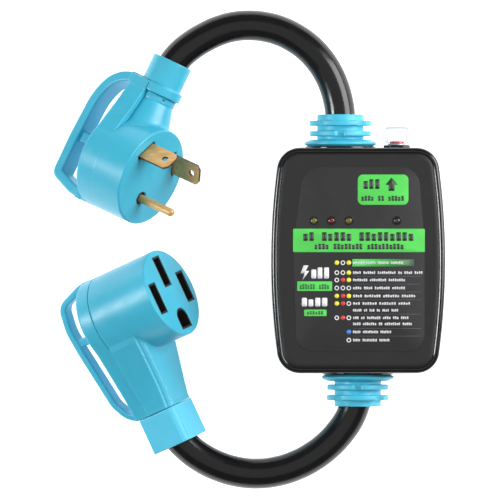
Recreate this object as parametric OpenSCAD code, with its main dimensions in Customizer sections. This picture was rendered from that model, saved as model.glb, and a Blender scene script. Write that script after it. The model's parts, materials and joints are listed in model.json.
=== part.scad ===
// In-line surge protector: a control box that lies on its back, with a short cable to a
// three-pole plug and another to a four-slot connector. Millimetres, +Z up, and the origin is
// at the middle of the box's back.

/* [Control box] */
// Width of the box at its middle
box_w = 100; // [96:0.5:108]
// Height of the box between its end walls
box_h = 131; // [128:0.5:140]
// Depth of the box from back to front
box_d = 56; // [54:1:62]
// Radius of the bowed side walls
side_r = 410; // [300:10:800]
// Radius of the box corners
corner_r = 13; // [10:0.5:16]
// Wall thickness of both cases
wall = 3; // [2.5:0.25:3.5]
// Height of the joint between the two cases
split_z = 42; // [41:0.5:43]
// Thickness of the seal in that joint
seal_t = 0.6; // [0.4:0.1:1]

/* [Cord glands] */
// Sideways place of the upper gland
upper_gland_x = -10; // [-12:0.5:-9.5]
// Height of both glands' axes above the back
gland_z = 28; // [28:0.5:28.5]
// Radius of the gland flange
gland_flange_r = 20.7; // [19:0.1:21.5]
// Radius of the gland body
gland_body_r = 13.4; // [13:0.1:14.5]
// Radius of the gland ribs
gland_rib_r = 17.8; // [16:0.1:18.5]
// Length of the gland outside the wall
gland_len = 18.6; // [18:0.2:19]

/* [Cables] */
// Outside diameter of both cables
cable_d = 17.5; // [16.5:0.1:17.5]
// Diameter of one insulated conductor
core_d = 5; // [4:0.1:5.2]

/* [Reset breaker] */
// Sideways place of the breaker
breaker_x = 22.5; // [22.5:0.5:24]
// Diameter of the sliding button
button_d = 8; // [7.5:0.1:8]
// Radial clearance of the button in its bushing
button_gap = 0.05; // [0.03:0.01:0.1]
// How far the button stands above the nut when it is reset
button_show = 2.5; // [1.5:0.1:3]
// How far the button pops out when the breaker trips
button_out = 4; // [3:0.5:4.5]
// Outside diameter of the clear boot
boot_d = 12.8; // [12.4:0.1:13.2]
// Height of the boot above the nut
boot_h = 10; // [9.5:0.5:12]

/* [Plug] */
// Diameter of the plug's round head
plug_d = 57.5; // [56:0.5:59]
// Depth of the plug's head from face to back
plug_depth = 32.4; // [32:0.1:33]
// Depth of the plug's front shell from its face
plug_split = 20.5; // [20:0.1:21.5]
// Width of each flat blade
blade_w = 12.5; // [11:0.1:13]
// Thickness of each flat blade
blade_t = 1.8; // [1.5:0.1:2]
// How far the blades stand out of the face
blade_len = 19.5; // [18:0.5:21]
// Slant of each blade away from the cord's direction
blade_slant = 35; // [30:1:45]
// Diameter of the round ground pin
pin_d = 4.8; // [4.6:0.1:5]
// How far the ground pin stands out of the face
pin_len = 24.6; // [22:0.2:26]

/* [Connector] */
// Diameter of the connector's round head
conn_d = 52.2; // [51:0.2:54]
// Depth of the connector's head from face to back
conn_depth = 49.5; // [49:0.5:50]
// Depth of the connector's front shell from its face
conn_split = 41; // [40:0.5:41.5]
// Length of the straight slots
slot_len = 18.6; // [18:0.1:18.6]
// Width of the straight slots
slot_w = 8.7; // [8:0.1:8.7]
// Half the distance between the two outer slots
slot_spread = 17.2; // [17:0.1:17.2]

/* [Handles] */
// Width of the plug's handle band
plug_band_w = 14; // [12:0.5:16]
// Thickness of the plug's handle band
plug_band_t = 4.9; // [4:0.1:5.5]
// Width of the connector's handle band
conn_band_w = 8.6; // [8:0.1:10]
// Thickness of the connector's handle band
conn_band_t = 3.4; // [3:0.1:4]

/* [Hidden] */
$fn = 48;

cyan = [0.27, 0.74, 0.86];
black = [0.12, 0.12, 0.13];
brass = [0.78, 0.65, 0.40];
green = [0.33, 0.85, 0.37];

end_y = box_h / 2;
fit = 0.03;

// Case details
case_ease = 2.6;
boss_r = 4.5;
boss_x = 36;
boss_y = 53.5;
screw_d = 3;
screw_head_d = 6;
lens_y = 22.8;
yellow_x = [-25.5, -5.4];
red_x = -15.5;
blue_x = 22.2;
lens_d = 4.4;
label_t = 0.3;
label_top = box_d + 0.1;

// Circuit board
board_z = 40;
board_t = 1.6;
board_w = 74;
board_h = 92;
board_hole_x = 33;
board_hole_y = 41;
board_screw_d = 2.5;

// Terminal block, its three channels and the height at which the conductors run
block_size = [34, 18, 14];
block_at = [-17, -9, wall];
block_screw_y = [5, 13];
channel_x = [-11, 0, 11];
channel_z = 7;
run_z = wall + channel_z;

// Gland stem through the wall
stem_r = 12;
stem_len = 9;
locknut_t = 5;

// Breaker
breaker_w = 17;
breaker_h = 32;
breaker_t = 20;
breaker_tab_x = 4.5;
bushing_r = 5.4;
bushing_len = 7.4;
bushing_flange_t = 1.5;
nut_w = 16.8;
nut_t = 3;
plunger_len = 8;
plunger_pocket_r = 6;
plunger_pocket_len = plunger_len + button_out;
plunger_collar_r = 5;
plunger_collar_t = 2;
button_ease = 0.6;

// Place and direction of the plug's face and of the connector's face
plug_pos = [-119, 47.7, 41.7];
plug_turn = [0, -32.6, -25.2];
conn_pos = [-107.1, -18.2, 46.9];
conn_turn = [0, -29, 24.8];

// Plug: x runs out of the face, y towards the cable, z across the handle
plug_axis = -20.4;
plug_wall = 2.6;
plug_face_t = 4;
neck_root_y = 14;
neck_root_r = 19.5;
neck_tip_r = 11.5;
neck_ring_y = 41;
neck_ring_r = 11.9;
plug_neck_top = 44.8;
plug_sleeve_end = 65.8;
plug_sleeve_r = 11.7;
collar_r = 13.5;
collar_t = 5.4;
flange_back = -34.5;
plug_screw_places = cover_screws(23.3, [45, 135, 225, 315]);
blade_y = 12.6;
blade_z = 15.8;
blade_root = -16;
pin_y = -13.4;
pin_root_d = 4.2;
clamp_hole_d = 0.9;
base_r = 24;

// Half of the keyhole outline of the plug's rear cover beyond its round head, and of its hollow
web_half = [[5, 28], [14, 25], [30.5, 16.9], [38, 14.6], [plug_neck_top, collar_r]];
web_hollow_half = [[0, 17.5], [neck_root_y, 17.5], [plug_neck_top - 3, 9.7]];

// Outer side of the plug's handle loop and its corner radii
plug_loop = [
    [-20, 50], [-48.5, 50], [-56.8, 30], [-58.3, 3],
    [-58.3, -21.3], [-43, -26.8], [-36, -27.6], [-20, -27.6]
];
plug_loop_r = [0.5, 20, 40, 60, 5, 20, 10, 0.5];

// Connector: x runs out of the face, y away from the cable, z across the handle
neck_front = -24.4;
neck_back = -48.6;
sleeve_back = -47.3;
cord_x = (neck_front + sleeve_back) / 2;
neck_end = 81;
neck_step = 59.5;
neck_half = 13.2;
neck_wall = 2.2;
panel_top_y = -13.5;
panel_inset = 3.1;
panel_t = 0.9;
conn_wall = 2.6;
conn_face_t = 3.5;
neutral_y = 13.2;
ground_y = -16.2;
ground_end_y = -22.3;
ground_r = 6.2;
carrier_r = 23.1;
liner_gap = 0.15;
liner_t = 1;

// Half of the neck's outline as [y, z] points from the head to the cable, and its front edge
// as [x, y] points in the same order
neck_half_outline = [
    [-8, 23.2], [-13.5, 22.1], [-26, 19.2], [-42, 15.6],
    [-52, 13.7], [-57, neck_half], [-neck_step, neck_half]
];
neck_front_edge = [[-19, -8], [-20.8, -26], [-22.6, -42], [neck_front, -57], [neck_front, -neck_step]];

// Outer side of the connector's handle loop and its corner radii
conn_loop = [
    [-35, 25.6], [-52, 25.6], [-70, 19.3], [-72.4, 4], [-71, -10], [-65.5, -46], [-58, -59.4], [-35, -59.4]
];
conn_loop_r = [0.5, 20, 9, 30, 60, 16, 14, 0.5];
conn_screw_places = cover_screws(20.5, [45, 105, 255, 315]);

// Cable routes, from inside the box to inside the plug and the connector
plug_route = [
    [-10, 52, 28], [-10, 60, 28], [-10, 68, 28], [-10, 76, 28], [-10.1, 84, 28],
    [-11.4, 92.5, 27.9], [-13.9, 101, 27.6], [-17.6, 109, 27.3], [-22.7, 116.5, 27],
    [-29, 123, 26.8], [-36.3, 128.2, 26.7], [-44.4, 132.2, 26.8], [-53, 134.6, 27.1],
    [-61.9, 135.5, 27.6], [-70.8, 134.9, 28.3], [-79.5, 132.6, 29], [-87.8, 128.8, 29.7],
    [-95.6, 124, 30.2], [-102.6, 118.1, 30.5], [-107.7, 111.3, 30.7], [-111.4, 104.2, 30.7],
    [-114.6, 97.4, 30.7], [-117.6, 91, 30.7], [-120.2, 85.5, 30.7], [-123.5, 78.5, 30.7]
];
connector_route = [
    [0.6, -52, 28], [0.6, -60, 28], [0.6, -66, 28], [0.4, -72, 28], [-0.4, -78, 27.9],
    [-1.9, -84, 27.8], [-5.2, -91.7, 27.5], [-10.6, -99.5, 27], [-17.5, -106.8, 26.8],
    [-26, -113.2, 26.8], [-35.6, -118.2, 26.9], [-46.4, -121.6, 27.2], [-58, -122.9, 27.7],
    [-69.4, -121.8, 28.2], [-80.2, -118.6, 28.7], [-89.8, -113.8, 29.1], [-97.5, -108.1, 29.4],
    [-103.6, -101.7, 29.5], [-107.2, -93.9, 29.5], [-110.7, -86, 29.5], [-114.6, -76.7, 29.5]
];

// ---- outlines ----

function unit(v) = v / norm(v);
function signed_turn(a, b) = ((b - a + 540) % 360) - 180;
function arc(c, r, a0, sweep, n) =
    [for (i = [0:n]) let (a = a0 + sweep * i / n) c + r * [cos(a), sin(a)]];

// One rounded corner between two edges
function corner_arc(p0, p1, p2, r, n) =
    let (a = unit(p0 - p1), b = unit(p2 - p1), half = acos(a * b) / 2)
    let (c = p1 + unit(a + b) * r / sin(half))
    let (s = p1 + a * r / tan(half) - c, e = p1 + b * r / tan(half) - c)
    let (a0 = atan2(s[1], s[0]), a1 = atan2(e[1], e[0]))
    arc(c, r, a0, signed_turn(a0, a1), n);

// A polygon whose corners are rounded by the radii given
function rounded(pts, radii, n = 6) = [
    for (i = [0:len(pts) - 1])
        each corner_arc(pts[(i + len(pts) - 1) % len(pts)], pts[i], pts[(i + 1) % len(pts)], radii[i], n)
];

// Barrel outline: straight ends, bowed sides and round corners
function barrel(hw, hh, r, rc, n = 6) =
    let (side = r - hw, cy = hh - rc, cx = sqrt(pow(r - rc, 2) - cy * cy) - side)
    let (a = atan2(cy, cx + side))
    let (half = concat(arc([-side, 0], r, -a, 2 * a, 10), arc([cx, cy], rc, a, 90 - a, n),
        arc([-cx, cy], rc, 90, 90 - a, n)))
    concat(half, [for (p = half) -p]);

module box_slab(z0, z1, inset = 0)
    translate([0, 0, z0]) linear_extrude(z1 - z0)
        polygon(barrel(box_w / 2 - inset, box_h / 2 - inset, side_r - inset, corner_r - inset));

// ---- tubes swept along a route ----

function tangent(route, i) = unit(route[min(i + 1, len(route) - 1)] - route[max(i - 1, 0)]);

function ring(route, i, r, sides) =
    let (t = tangent(route, i), side = unit(cross(t, [0, 0, 1])), up = cross(side, t))
    [for (k = [0:sides - 1]) route[i] + r * (cos(360 * k / sides) * side + sin(360 * k / sides) * up)];

module tube(route, r, sides = 12) {
    last = len(route) - 1;
    points = [for (i = [0:last]) each ring(route, i, r, sides)];
    walls = [
        for (i = [0:last - 1], k = [0:sides - 1])
            let (a = i * sides + k, b = i * sides + (k + 1) % sides)
            each [[a, b, b + sides], [a, b + sides, a + sides]]
    ];
    caps = [[for (k = [sides - 1:-1:0]) k], [for (k = [0:sides - 1]) last * sides + k]];
    polyhedron(points, concat(walls, caps));
}

// An insulated conductor along a few points
module wire(points, d = core_d) tube(points, d / 2, 8);

// ---- helpers ----

module at_plug() translate(plug_pos) rotate(plug_turn) children();
module at_connector() translate(conn_pos) rotate(conn_turn) children();

// Lays a shape drawn in the (y, z) plane along x, between two depths
module along_x(x0, x1) translate([x0, 0, 0]) rotate([90, 0, 90]) linear_extrude(x1 - x0) children();

// Lays a shape drawn in the (x, y) plane across z, centred
module across_z(width) translate([0, 0, -width / 2]) linear_extrude(width) children();

module at_corners(x, y)
    for (i = [-1, 1], j = [-1, 1]) translate([i * x, j * y, 0]) children();

// Turns a shape that stands on the wall so that it points out of the box's upper or lower end
module out_of_end(x, upper = true)
    translate([x, upper ? end_y : -end_y, gland_z]) rotate([upper ? -90 : 90, 0, 0]) children();

// Lays a shape that stands on its own plane along the plug's or connector's x axis
module facing_x(x, y, z) translate([x, y, z]) rotate([0, 90, 0]) children();

module screw(d, head_d, head_h, len)
    difference() {
        union() {
            cylinder(d = head_d, h = head_h);
            cylinder(d = d, h = len);
        }
        for (a = [0, 90])
            rotate([0, 0, a]) translate([0, 0, head_h / 4])
                cube([head_d * 0.65, 0.7, head_h * 0.6], center = true);
    }

// Hole through an end wall for a part of radius r
module wall_hole(r) translate([0, 0, -wall - 1]) cylinder(r = r + fit, h = wall + 2);

// ---- control box ----

module rear_case()
    color(black)
        difference() {
            union() {
                difference() {
                    hull() {
                        box_slab(0, 0.2, case_ease);
                        box_slab(case_ease, split_z);
                    }
                    box_slab(wall, split_z + 1, wall);
                }
                at_corners(boss_x, boss_y) cylinder(r = boss_r, h = split_z);
            }
            at_corners(boss_x, boss_y) {
                translate([0, 0, -1]) cylinder(d = screw_d + 0.4, h = split_z + 2);
                translate([0, 0, -1]) cylinder(d = screw_head_d + 0.6, h = 4);
            }
            out_of_end(upper_gland_x) wall_hole(stem_r);
            out_of_end(0, false) wall_hole(stem_r);
            out_of_end(breaker_x) wall_hole(bushing_r);
        }

module front_case()
    color(black)
        difference() {
            union() {
                difference() {
                    hull() {
                        box_slab(split_z + seal_t, box_d - case_ease);
                        box_slab(box_d - 0.2, box_d, case_ease);
                    }
                    box_slab(split_z, box_d - wall, wall);
                }
                at_corners(boss_x, boss_y)
                    translate([0, 0, split_z + seal_t]) cylinder(r = boss_r, h = box_d - wall - split_z);
                at_corners(board_hole_x, board_hole_y)
                    translate([0, 0, board_z + board_t])
                        cylinder(r = 3.5, h = box_d - wall - board_z - board_t + 0.5);
            }
            at_corners(boss_x, boss_y)
                translate([0, 0, split_z]) cylinder(d = screw_d + 2 * fit, h = 9);
            at_corners(board_hole_x, board_hole_y)
                translate([0, 0, board_z]) cylinder(d = board_screw_d + 2 * fit, h = 9);
            for (x = concat(yellow_x, [red_x, blue_x]))
                translate([x, lens_y, box_d - wall - 1]) cylinder(d = lens_d + 2 * fit, h = wall + 2);
            translate([0, 0, label_top - label_t]) linear_extrude(1) overlay_outline(-0.15);
        }

module case_seal()
    color([0.2, 0.2, 0.2])
        difference() {
            box_slab(split_z, split_z + seal_t, 0.6);
            box_slab(split_z - 1, split_z + 1, wall - 0.4);
        }

module case_screws()
    color("silver")
        at_corners(boss_x, boss_y) translate([0, 0, 0.3]) screw(screw_d, screw_head_d, 2.5, split_z + 6);

// ---- front labels ----

module overlay_outline(inset = 0)
    offset(delta = -inset)
        polygon(rounded([[31, 54], [-31, 54], [-38, 10], [-36.6, -52.6], [36.6, -52.6], [38, 10]],
            [8, 8, 60, 10, 10, 60]));

module label_plate(x0, y0, x1, y1, r)
    translate([0, 0, label_top + 0.02]) linear_extrude(0.2)
        polygon(rounded([[x1, y1], [x0, y1], [x0, y0], [x1, y0]], [r, r, r, r], 4));

module overlay_label()
    color([0.22, 0.22, 0.23])
        difference() {
            translate([0, 0, label_top - label_t + 0.02]) linear_extrude(label_t) overlay_outline();
            for (x = concat(yellow_x, [red_x, blue_x]))
                translate([x, lens_y, box_d - 1]) cylinder(d = lens_d + 2 * fit, h = 3);
        }

module reset_sticker() color(green) label_plate(-0.3, 31.9, 28.8, 49.3, 3);

module title_bar() color(green) label_plate(-37, 4.8, 37, 18.2, 0.4);

module rating_badges()
    color(green) {
        label_plate(-35, -17.5, -15, -12, 0.3);
        label_plate(-31, -31.9, -18.2, -28.2, 0.3);
    }

// Light pipe with a flange under the lid
module lens(x)
    translate([x, lens_y, 0]) {
        translate([0, 0, box_d - wall - 1.4]) cylinder(d = lens_d + 2, h = 1.3);
        translate([0, 0, box_d - wall - 0.2]) cylinder(d = lens_d, h = wall + 0.4);
    }

module yellow_lenses() color([0.75, 0.7, 0.15, 0.8]) for (x = yellow_x) lens(x);
module red_lens() color([0.6, 0.1, 0.1, 0.8]) lens(red_x);
module blue_lens() color([0.15, 0.2, 0.35, 0.8]) lens(blue_x);

// ---- inside the box ----

module circuit_board()
    color([0.1, 0.4, 0.2])
        difference() {
            translate([-board_w / 2, -board_h / 2, board_z]) cube([board_w, board_h, board_t]);
            at_corners(board_hole_x, board_hole_y)
                translate([0, 0, board_z - 1]) cylinder(d = board_screw_d + 0.3, h = 4);
        }

module board_screws()
    color("silver")
        at_corners(board_hole_x, board_hole_y)
            translate([0, 0, board_z - 2]) screw(board_screw_d, 5, 2, 10);

module led_lamps()
    color("white")
        for (x = concat(yellow_x, [red_x, blue_x]))
            translate([x, lens_y, board_z + board_t]) {
                cylinder(d = 5, h = 5);
                translate([0, 0, 5]) sphere(d = 4.6);
            }

// Row of disc varistors that hang on edge under the board
module varistors()
    color([0.15, 0.35, 0.75])
        for (i = [0:2])
            translate([-26 + 9 * i, 0, board_z - 12.5]) {
                rotate([0, 90, 0]) cylinder(d = 20, h = 5, center = true);
                for (j = [-1, 1])
                    translate([0, 5 * j, 8]) cylinder(d = 1, h = 4.5, $fn = 16);
            }

module filter_capacitor()
    color([0.9, 0.75, 0.2])
        translate([-4, -26, board_z - 15]) cube([26, 12, 15]);

module thermal_fuses()
    color("silver")
        for (i = [0:2])
            translate([10 + 8 * i, -2, board_z - 2.5])
                rotate([90, 0, 0]) cylinder(d = 4, h = 11, center = true);

module terminal_block()
    color([0.85, 0.85, 0.82])
        translate(block_at)
            difference() {
                cube(block_size);
                for (x = channel_x) {
                    translate([block_size[0] / 2 + x, -1, channel_z])
                        rotate([-90, 0, 0]) cylinder(d = core_d + 0.2, h = block_size[1] + 2);
                    for (y = block_screw_y)
                        translate([block_size[0] / 2 + x, y, channel_z + 1]) cylinder(d = 4.2, h = 10);
                }
            }

module block_screws()
    color("silver")
        for (x = channel_x, y = block_screw_y)
            translate(block_at + [block_size[0] / 2 + x, y, channel_z + core_d / 2 + 0.1])
                difference() {
                    cylinder(d = 4, h = 4);
                    translate([-2.5, -0.4, 3]) cube([5, 0.8, 2]);
                }

module neutral_wires()
    color("white") {
        wire([[-14, 50.5, 28], [-16, 44, 24], [-11, 22, run_z], [-11, 4, run_z]]);
        wire([[-11, -4, run_z], [-11, -20, run_z], [-5, -42, 24], [-4, -50.5, 27]]);
    }

module ground_wires()
    color([0.1, 0.6, 0.25]) {
        wire([[-9.5, 50.5, 24], [-7, 40, 18], [0, 22, run_z], [0, 4, run_z]]);
        wire([[0, -4, run_z], [0, -20, run_z], [1, -42, 20], [1.2, -50.5, 23.6]]);
    }

module hot_wires()
    color([0.15, 0.15, 0.15]) {
        wire([[-6.5, 50.5, 31], [-2, 40, 31], [4, 24, 29], [12, 19, 28], [17, 22, 28], [18, 28, 28]]);
        wire([[27, 28, 28], [27, 22, 25], [26, 18, 18], [17, 18, 12], [11, 14, run_z], [11, 4, run_z]]);
        wire([[11, -4, run_z], [11, -22, run_z], [6, -42, 26], [4.6, -50.5, 30]]);
    }

// ---- reset breaker ----

module breaker_body()
    color([0.1, 0.1, 0.1])
        out_of_end(breaker_x)
            difference() {
                translate([-breaker_w / 2, -breaker_t / 2, -wall - breaker_h])
                    cube([breaker_w, breaker_t, breaker_h]);
                translate([0, 0, -wall - plunger_pocket_len])
                    cylinder(r = plunger_pocket_r, h = plunger_pocket_len + 1);
            }

module breaker_terminals()
    color(brass)
        for (side = [-1, 1])
            translate([breaker_x + side * breaker_tab_x - 3.15, end_y - wall - breaker_h - 7, gland_z + 2.6])
                cube([6.3, 7, 0.8]);

module breaker_bushing()
    color("silver")
        out_of_end(breaker_x)
            difference() {
                union() {
                    translate([0, 0, -wall]) cylinder(r = bushing_r, h = bushing_len);
                    translate([0, 0, -wall - bushing_flange_t])
                        cylinder(r = plunger_pocket_r - fit, h = bushing_flange_t);
                }
                translate([0, 0, -wall - 3])
                    cylinder(d = button_d + 2 * button_gap, h = bushing_len + 4);
            }

module breaker_nut()
    color(black)
        out_of_end(breaker_x)
            difference() {
                intersection() {
                    cylinder(d = nut_w, h = nut_t, $fn = 6);
                    cylinder(r1 = 9.4, r2 = 7.6, h = nut_t);
                }
                translate([0, 0, -1]) cylinder(r = bushing_r + fit, h = nut_t + 2);
            }

module reset_button()
    color("red")
        out_of_end(breaker_x) {
            top = nut_t + button_show - button_ease;
            translate([0, 0, -wall - plunger_len]) {
                cylinder(d = button_d, h = wall + plunger_len + top);
                cylinder(r = plunger_collar_r, h = plunger_collar_t);
            }
            translate([0, 0, top])
                cylinder(d1 = button_d, d2 = button_d - 2 * button_ease, h = button_ease);
        }

module reset_boot()
    color([0.9, 0.92, 0.95, 0.3])
        out_of_end(breaker_x) translate([0, 0, nut_t])
            difference() {
                cylinder(d = boot_d, h = boot_h);
                translate([0, 0, -1]) cylinder(r = bushing_r + fit, h = boot_h - 0.2);
            }

// ---- cord glands ----

function rib_steps(z0, z1) = [[gland_body_r, z0], [gland_rib_r, z0], [gland_rib_r, z1], [gland_body_r, z1]];

// Ribbed gland around z, with its flange on the wall at z = 0; the bore opens from throat to mouth
module gland(throat, mouth)
    rotate_extrude()
        polygon(concat(
            [[throat, -stem_len], [stem_r, -stem_len], [stem_r, 0], [gland_flange_r - 1.6, 0],
             [gland_flange_r, 1.6], [gland_flange_r, 2.4], [gland_flange_r - 3, 3.9], [gland_body_r, 3.9]],
            rib_steps(6.1, 9), rib_steps(12.1, 15),
            [[gland_body_r, gland_len], [mouth, gland_len], [throat, 2]]));

module upper_gland() color(cyan) out_of_end(upper_gland_x) gland(cable_d / 2 + 0.1, cable_d / 2 + 0.6);
module lower_gland() color(cyan) out_of_end(0, false) gland(cable_d / 2 + 0.7, cable_d / 2 + 2.7);

module locknut()
    translate([0, 0, -wall - locknut_t])
        difference() {
            cylinder(r = 16, h = locknut_t, $fn = 6);
            translate([0, 0, -1]) cylinder(r = stem_r + fit, h = locknut_t + 2);
        }

module gland_locknuts()
    color(cyan) {
        out_of_end(upper_gland_x) locknut();
        out_of_end(0, false) locknut();
    }

// ---- cables ----

module plug_cable() color([0.1, 0.1, 0.1]) tube(plug_route, cable_d / 2);
module connector_cable() color([0.1, 0.1, 0.1]) tube(connector_route, cable_d / 2);

// ---- plug ----

// Cone and end ring of the neck about the cord's axis, grown or shrunk by grow
module plug_neck(grow = 0)
    translate([plug_axis, 0, 0]) rotate([-90, 0, 0]) {
        translate([0, 0, neck_root_y])
            cylinder(r1 = neck_root_r + grow, r2 = neck_tip_r + grow, h = neck_ring_y - neck_root_y);
        translate([0, 0, neck_ring_y - 0.01])
            cylinder(r = neck_ring_r + grow, h = plug_neck_top - neck_ring_y + 0.01);
    }

// Everything in front of a depth, used to trim a shape
module half_space(x0) translate([x0, -80, -60]) cube([90, 160, 120]);

module blade_places()
    for (side = [-1, 1])
        translate([0, blade_y, side * blade_z]) rotate([-side * blade_slant, 0, 0]) children();

// Cover screw places in the (y, z) plane
function cover_screws(r, angles) = [for (a = angles) r * [cos(a), sin(a)]];

module plug_front_shell()
    color(cyan)
        at_plug()
            difference() {
                union() {
                    facing_x(-plug_split, 0, 0) cylinder(d = plug_d, h = plug_split);
                    intersection() {
                        plug_neck();
                        half_space(-plug_split);
                    }
                }
                difference() {
                    union() {
                        facing_x(-plug_split - 1, 0, 0)
                            cylinder(d = plug_d - 2 * plug_wall, h = plug_split + 1 - plug_face_t);
                        plug_neck(-2);
                    }
                    for (p = plug_screw_places)
                        facing_x(-plug_split, p[0], p[1]) cylinder(r = 3.4, h = 3.8);
                    half_space(-plug_face_t);
                }
                for (p = plug_screw_places)
                    facing_x(-plug_split - 1, p[0], p[1]) cylinder(d = screw_d + 2 * fit, h = 8);
                blade_places() translate([-10, -blade_w / 2 - 1.2, -blade_t / 2 - 0.8])
                    cube([20, blade_w + 2.4, blade_t + 1.6]);
                facing_x(-10, pin_y, 0) cylinder(d = pin_d + 3.2, h = 20);
            }

// Handle band: a closed loop drawn in the (x, y) plane whose inner side lies in the body
module band(loop, radii, width, thickness)
    across_z(width)
        difference() {
            polygon(rounded(loop, radii));
            offset(delta = -thickness) polygon(rounded(loop, radii));
        }

// A half outline given as [y, z] points and its mirror image across y
module mirrored_outline(half)
    polygon(concat(half, [for (i = [len(half) - 1:-1:0]) [half[i][0], -half[i][1]]]));

module plug_rear_cover()
    color(cyan)
        at_plug()
            difference() {
                union() {
                    facing_x(-plug_depth, 0, 0) cylinder(d = plug_d, h = plug_depth - plug_split);
                    along_x(-plug_depth, -plug_split) mirrored_outline(web_half);
                    translate([flange_back, plug_neck_top - 0.4, -collar_r])
                        cube([-flange_back - plug_split, collar_t + 0.4, 2 * collar_r]);
                    difference() {
                        band(plug_loop, plug_loop_r, plug_band_w, plug_band_t);
                        half_space(-plug_depth + 0.5);
                    }
                    translate([-55.5, 1.5, -plug_band_w / 2 + 3])
                        cube([55.5 - plug_depth + 0.5, 6.5, plug_band_w - 6]);
                }
                difference() {
                    union() {
                        facing_x(-plug_depth + plug_wall, 0, 0)
                            cylinder(d = plug_d - 2 * plug_wall, h = plug_depth);
                        along_x(-plug_depth + plug_wall, 0) mirrored_outline(web_hollow_half);
                    }
                    for (p = plug_screw_places)
                        facing_x(-plug_depth, p[0], p[1]) cylinder(r = 3.4, h = plug_depth - plug_split);
                }
                for (p = plug_screw_places) {
                    facing_x(-plug_depth - 30, p[0], p[1]) cylinder(d = screw_d + 0.4, h = 60);
                    facing_x(-plug_depth - 1, p[0], p[1]) cylinder(d = screw_head_d + 0.4, h = 3.2);
                }
                translate([plug_axis, plug_neck_top - 4, 0]) rotate([-90, 0, 0]) {
                    cylinder(r = cable_d / 2 + 0.6, h = 20);
                    translate([0, 0, 4]) cylinder(r = plug_sleeve_r + fit, h = 20);
                }
            }

module plug_sleeve()
    color(cyan)
        at_plug() translate([plug_axis, plug_neck_top, 0]) rotate([-90, 0, 0])
            difference() {
                union() {
                    intersection() {
                        cylinder(r = collar_r, h = collar_t);
                        translate([-plug_split - plug_axis + 0.1, -20, 0]) cube([40, 40, 20]);
                    }
                    cylinder(r = plug_sleeve_r, h = plug_sleeve_end - plug_neck_top);
                }
                translate([0, 0, -1]) cylinder(r = cable_d / 2 + 0.4, h = 30);
                translate([0, 0, plug_sleeve_end - plug_neck_top - 12])
                    cylinder(r1 = cable_d / 2 + 0.4, r2 = cable_d / 2 + 1.6, h = 12.1);
            }

module plug_blade_base()
    color([0.15, 0.15, 0.15])
        at_plug()
            difference() {
                union() {
                    facing_x(-14, 0, 0) cylinder(r = base_r, h = 14 - plug_face_t - 0.1);
                    blade_places() translate([-10, -blade_w / 2 - 1.1, -blade_t / 2 - 0.7])
                        cube([9.7, blade_w + 2.2, blade_t + 1.4]);
                    facing_x(-10, pin_y, 0) cylinder(d = pin_d + 3, h = 9);
                }
                blade_places() translate([-30, -blade_w / 2 - fit, -blade_t / 2 - fit])
                    cube([40, blade_w + 2 * fit, blade_t + 2 * fit]);
                facing_x(-30, pin_y, 0) cylinder(d = pin_root_d + 2 * fit, h = 40);
            }

// Flat blade along x, with cut tip corners and a hole near the tip
module blade()
    difference() {
        translate([0, 0, -blade_t / 2]) linear_extrude(blade_t)
            mirrored_outline([[blade_root, blade_w / 2], [blade_len - 2, blade_w / 2],
                              [blade_len, blade_w / 2 - 2.5]]);
        translate([blade_len - 5.5, 0, -5]) cylinder(d = 3.6, h = 10);
        translate([blade_root + 4, 0, -5]) cylinder(d = screw_d + 0.3, h = 10);
    }

module hot_blade()
    color(brass) at_plug() translate([0, blade_y, blade_z]) rotate([-blade_slant, 0, 0]) blade();
module neutral_blade()
    color(brass) at_plug() translate([0, blade_y, -blade_z]) rotate([blade_slant, 0, 0]) blade();

module ground_pin()
    color(brass)
        at_plug()
            difference() {
                union() {
                    facing_x(blade_root, pin_y, 0) cylinder(d = pin_root_d, h = 1 - blade_root);
                    facing_x(0, pin_y, 0) cylinder(d = pin_d, h = pin_len - pin_d / 2);
                    facing_x(pin_len - pin_d / 2, pin_y, 0) sphere(d = pin_d);
                }
                translate([blade_root + 3, pin_y - 5, 0]) rotate([-90, 0, 0]) cylinder(d = 2, h = 10);
            }

// Half ring that presses the cable against the rear cover, with an ear on each side
module plug_cord_clamp()
    color("silver")
        at_plug() translate([plug_axis, 27.5, 0]) rotate([-90, 0, 0])
            difference() {
                union() {
                    cylinder(r = cable_d / 2 + 1.8, h = 6);
                    translate([-1, -cable_d / 2 - 3, 0]) cube([2, cable_d + 6, 6]);
                }
                translate([0, 0, -1]) cylinder(r = cable_d / 2 + 0.1, h = 8);
                translate([-31, -30, -1]) cube([30, 60, 8]);
                for (side = [-1, 1])
                    translate([-5, side * (cable_d / 2 + 2.3), 3])
                        rotate([0, 90, 0]) cylinder(d = clamp_hole_d, h = 10);
            }

module plug_screws()
    color("silver")
        at_plug() {
            for (p = plug_screw_places)
                facing_x(-plug_depth + 0.2, p[0], p[1]) screw(screw_d, screw_head_d, 2, 15);
        }

module plug_wires()
    color([0.15, 0.15, 0.15])
        at_plug() {
            for (side = [-1, 1])
                wire([[plug_axis, 25, side * 4.5], [-21, 17, side * 9], [-18.6, 11, side * 12.5]], 4.4);
            wire([[plug_axis - 3, 25, 0], [-24, 8, 0], [-24, -8, 0], [-18.6, pin_y, 0]], 4.4);
        }

// ---- connector ----

// Neck between the head and the sleeve, with its back at x0, moved inwards by inset
module conn_neck(x0, x1, inset = 0)
    intersection() {
        along_x(x0, x1) offset(delta = -inset) mirrored_outline(neck_half_outline);
        across_z(4 * neck_half)
            offset(delta = -inset)
                polygon(concat([[x0 - 9, -neck_step], [x0 - 9, -8]], neck_front_edge));
    }

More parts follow.
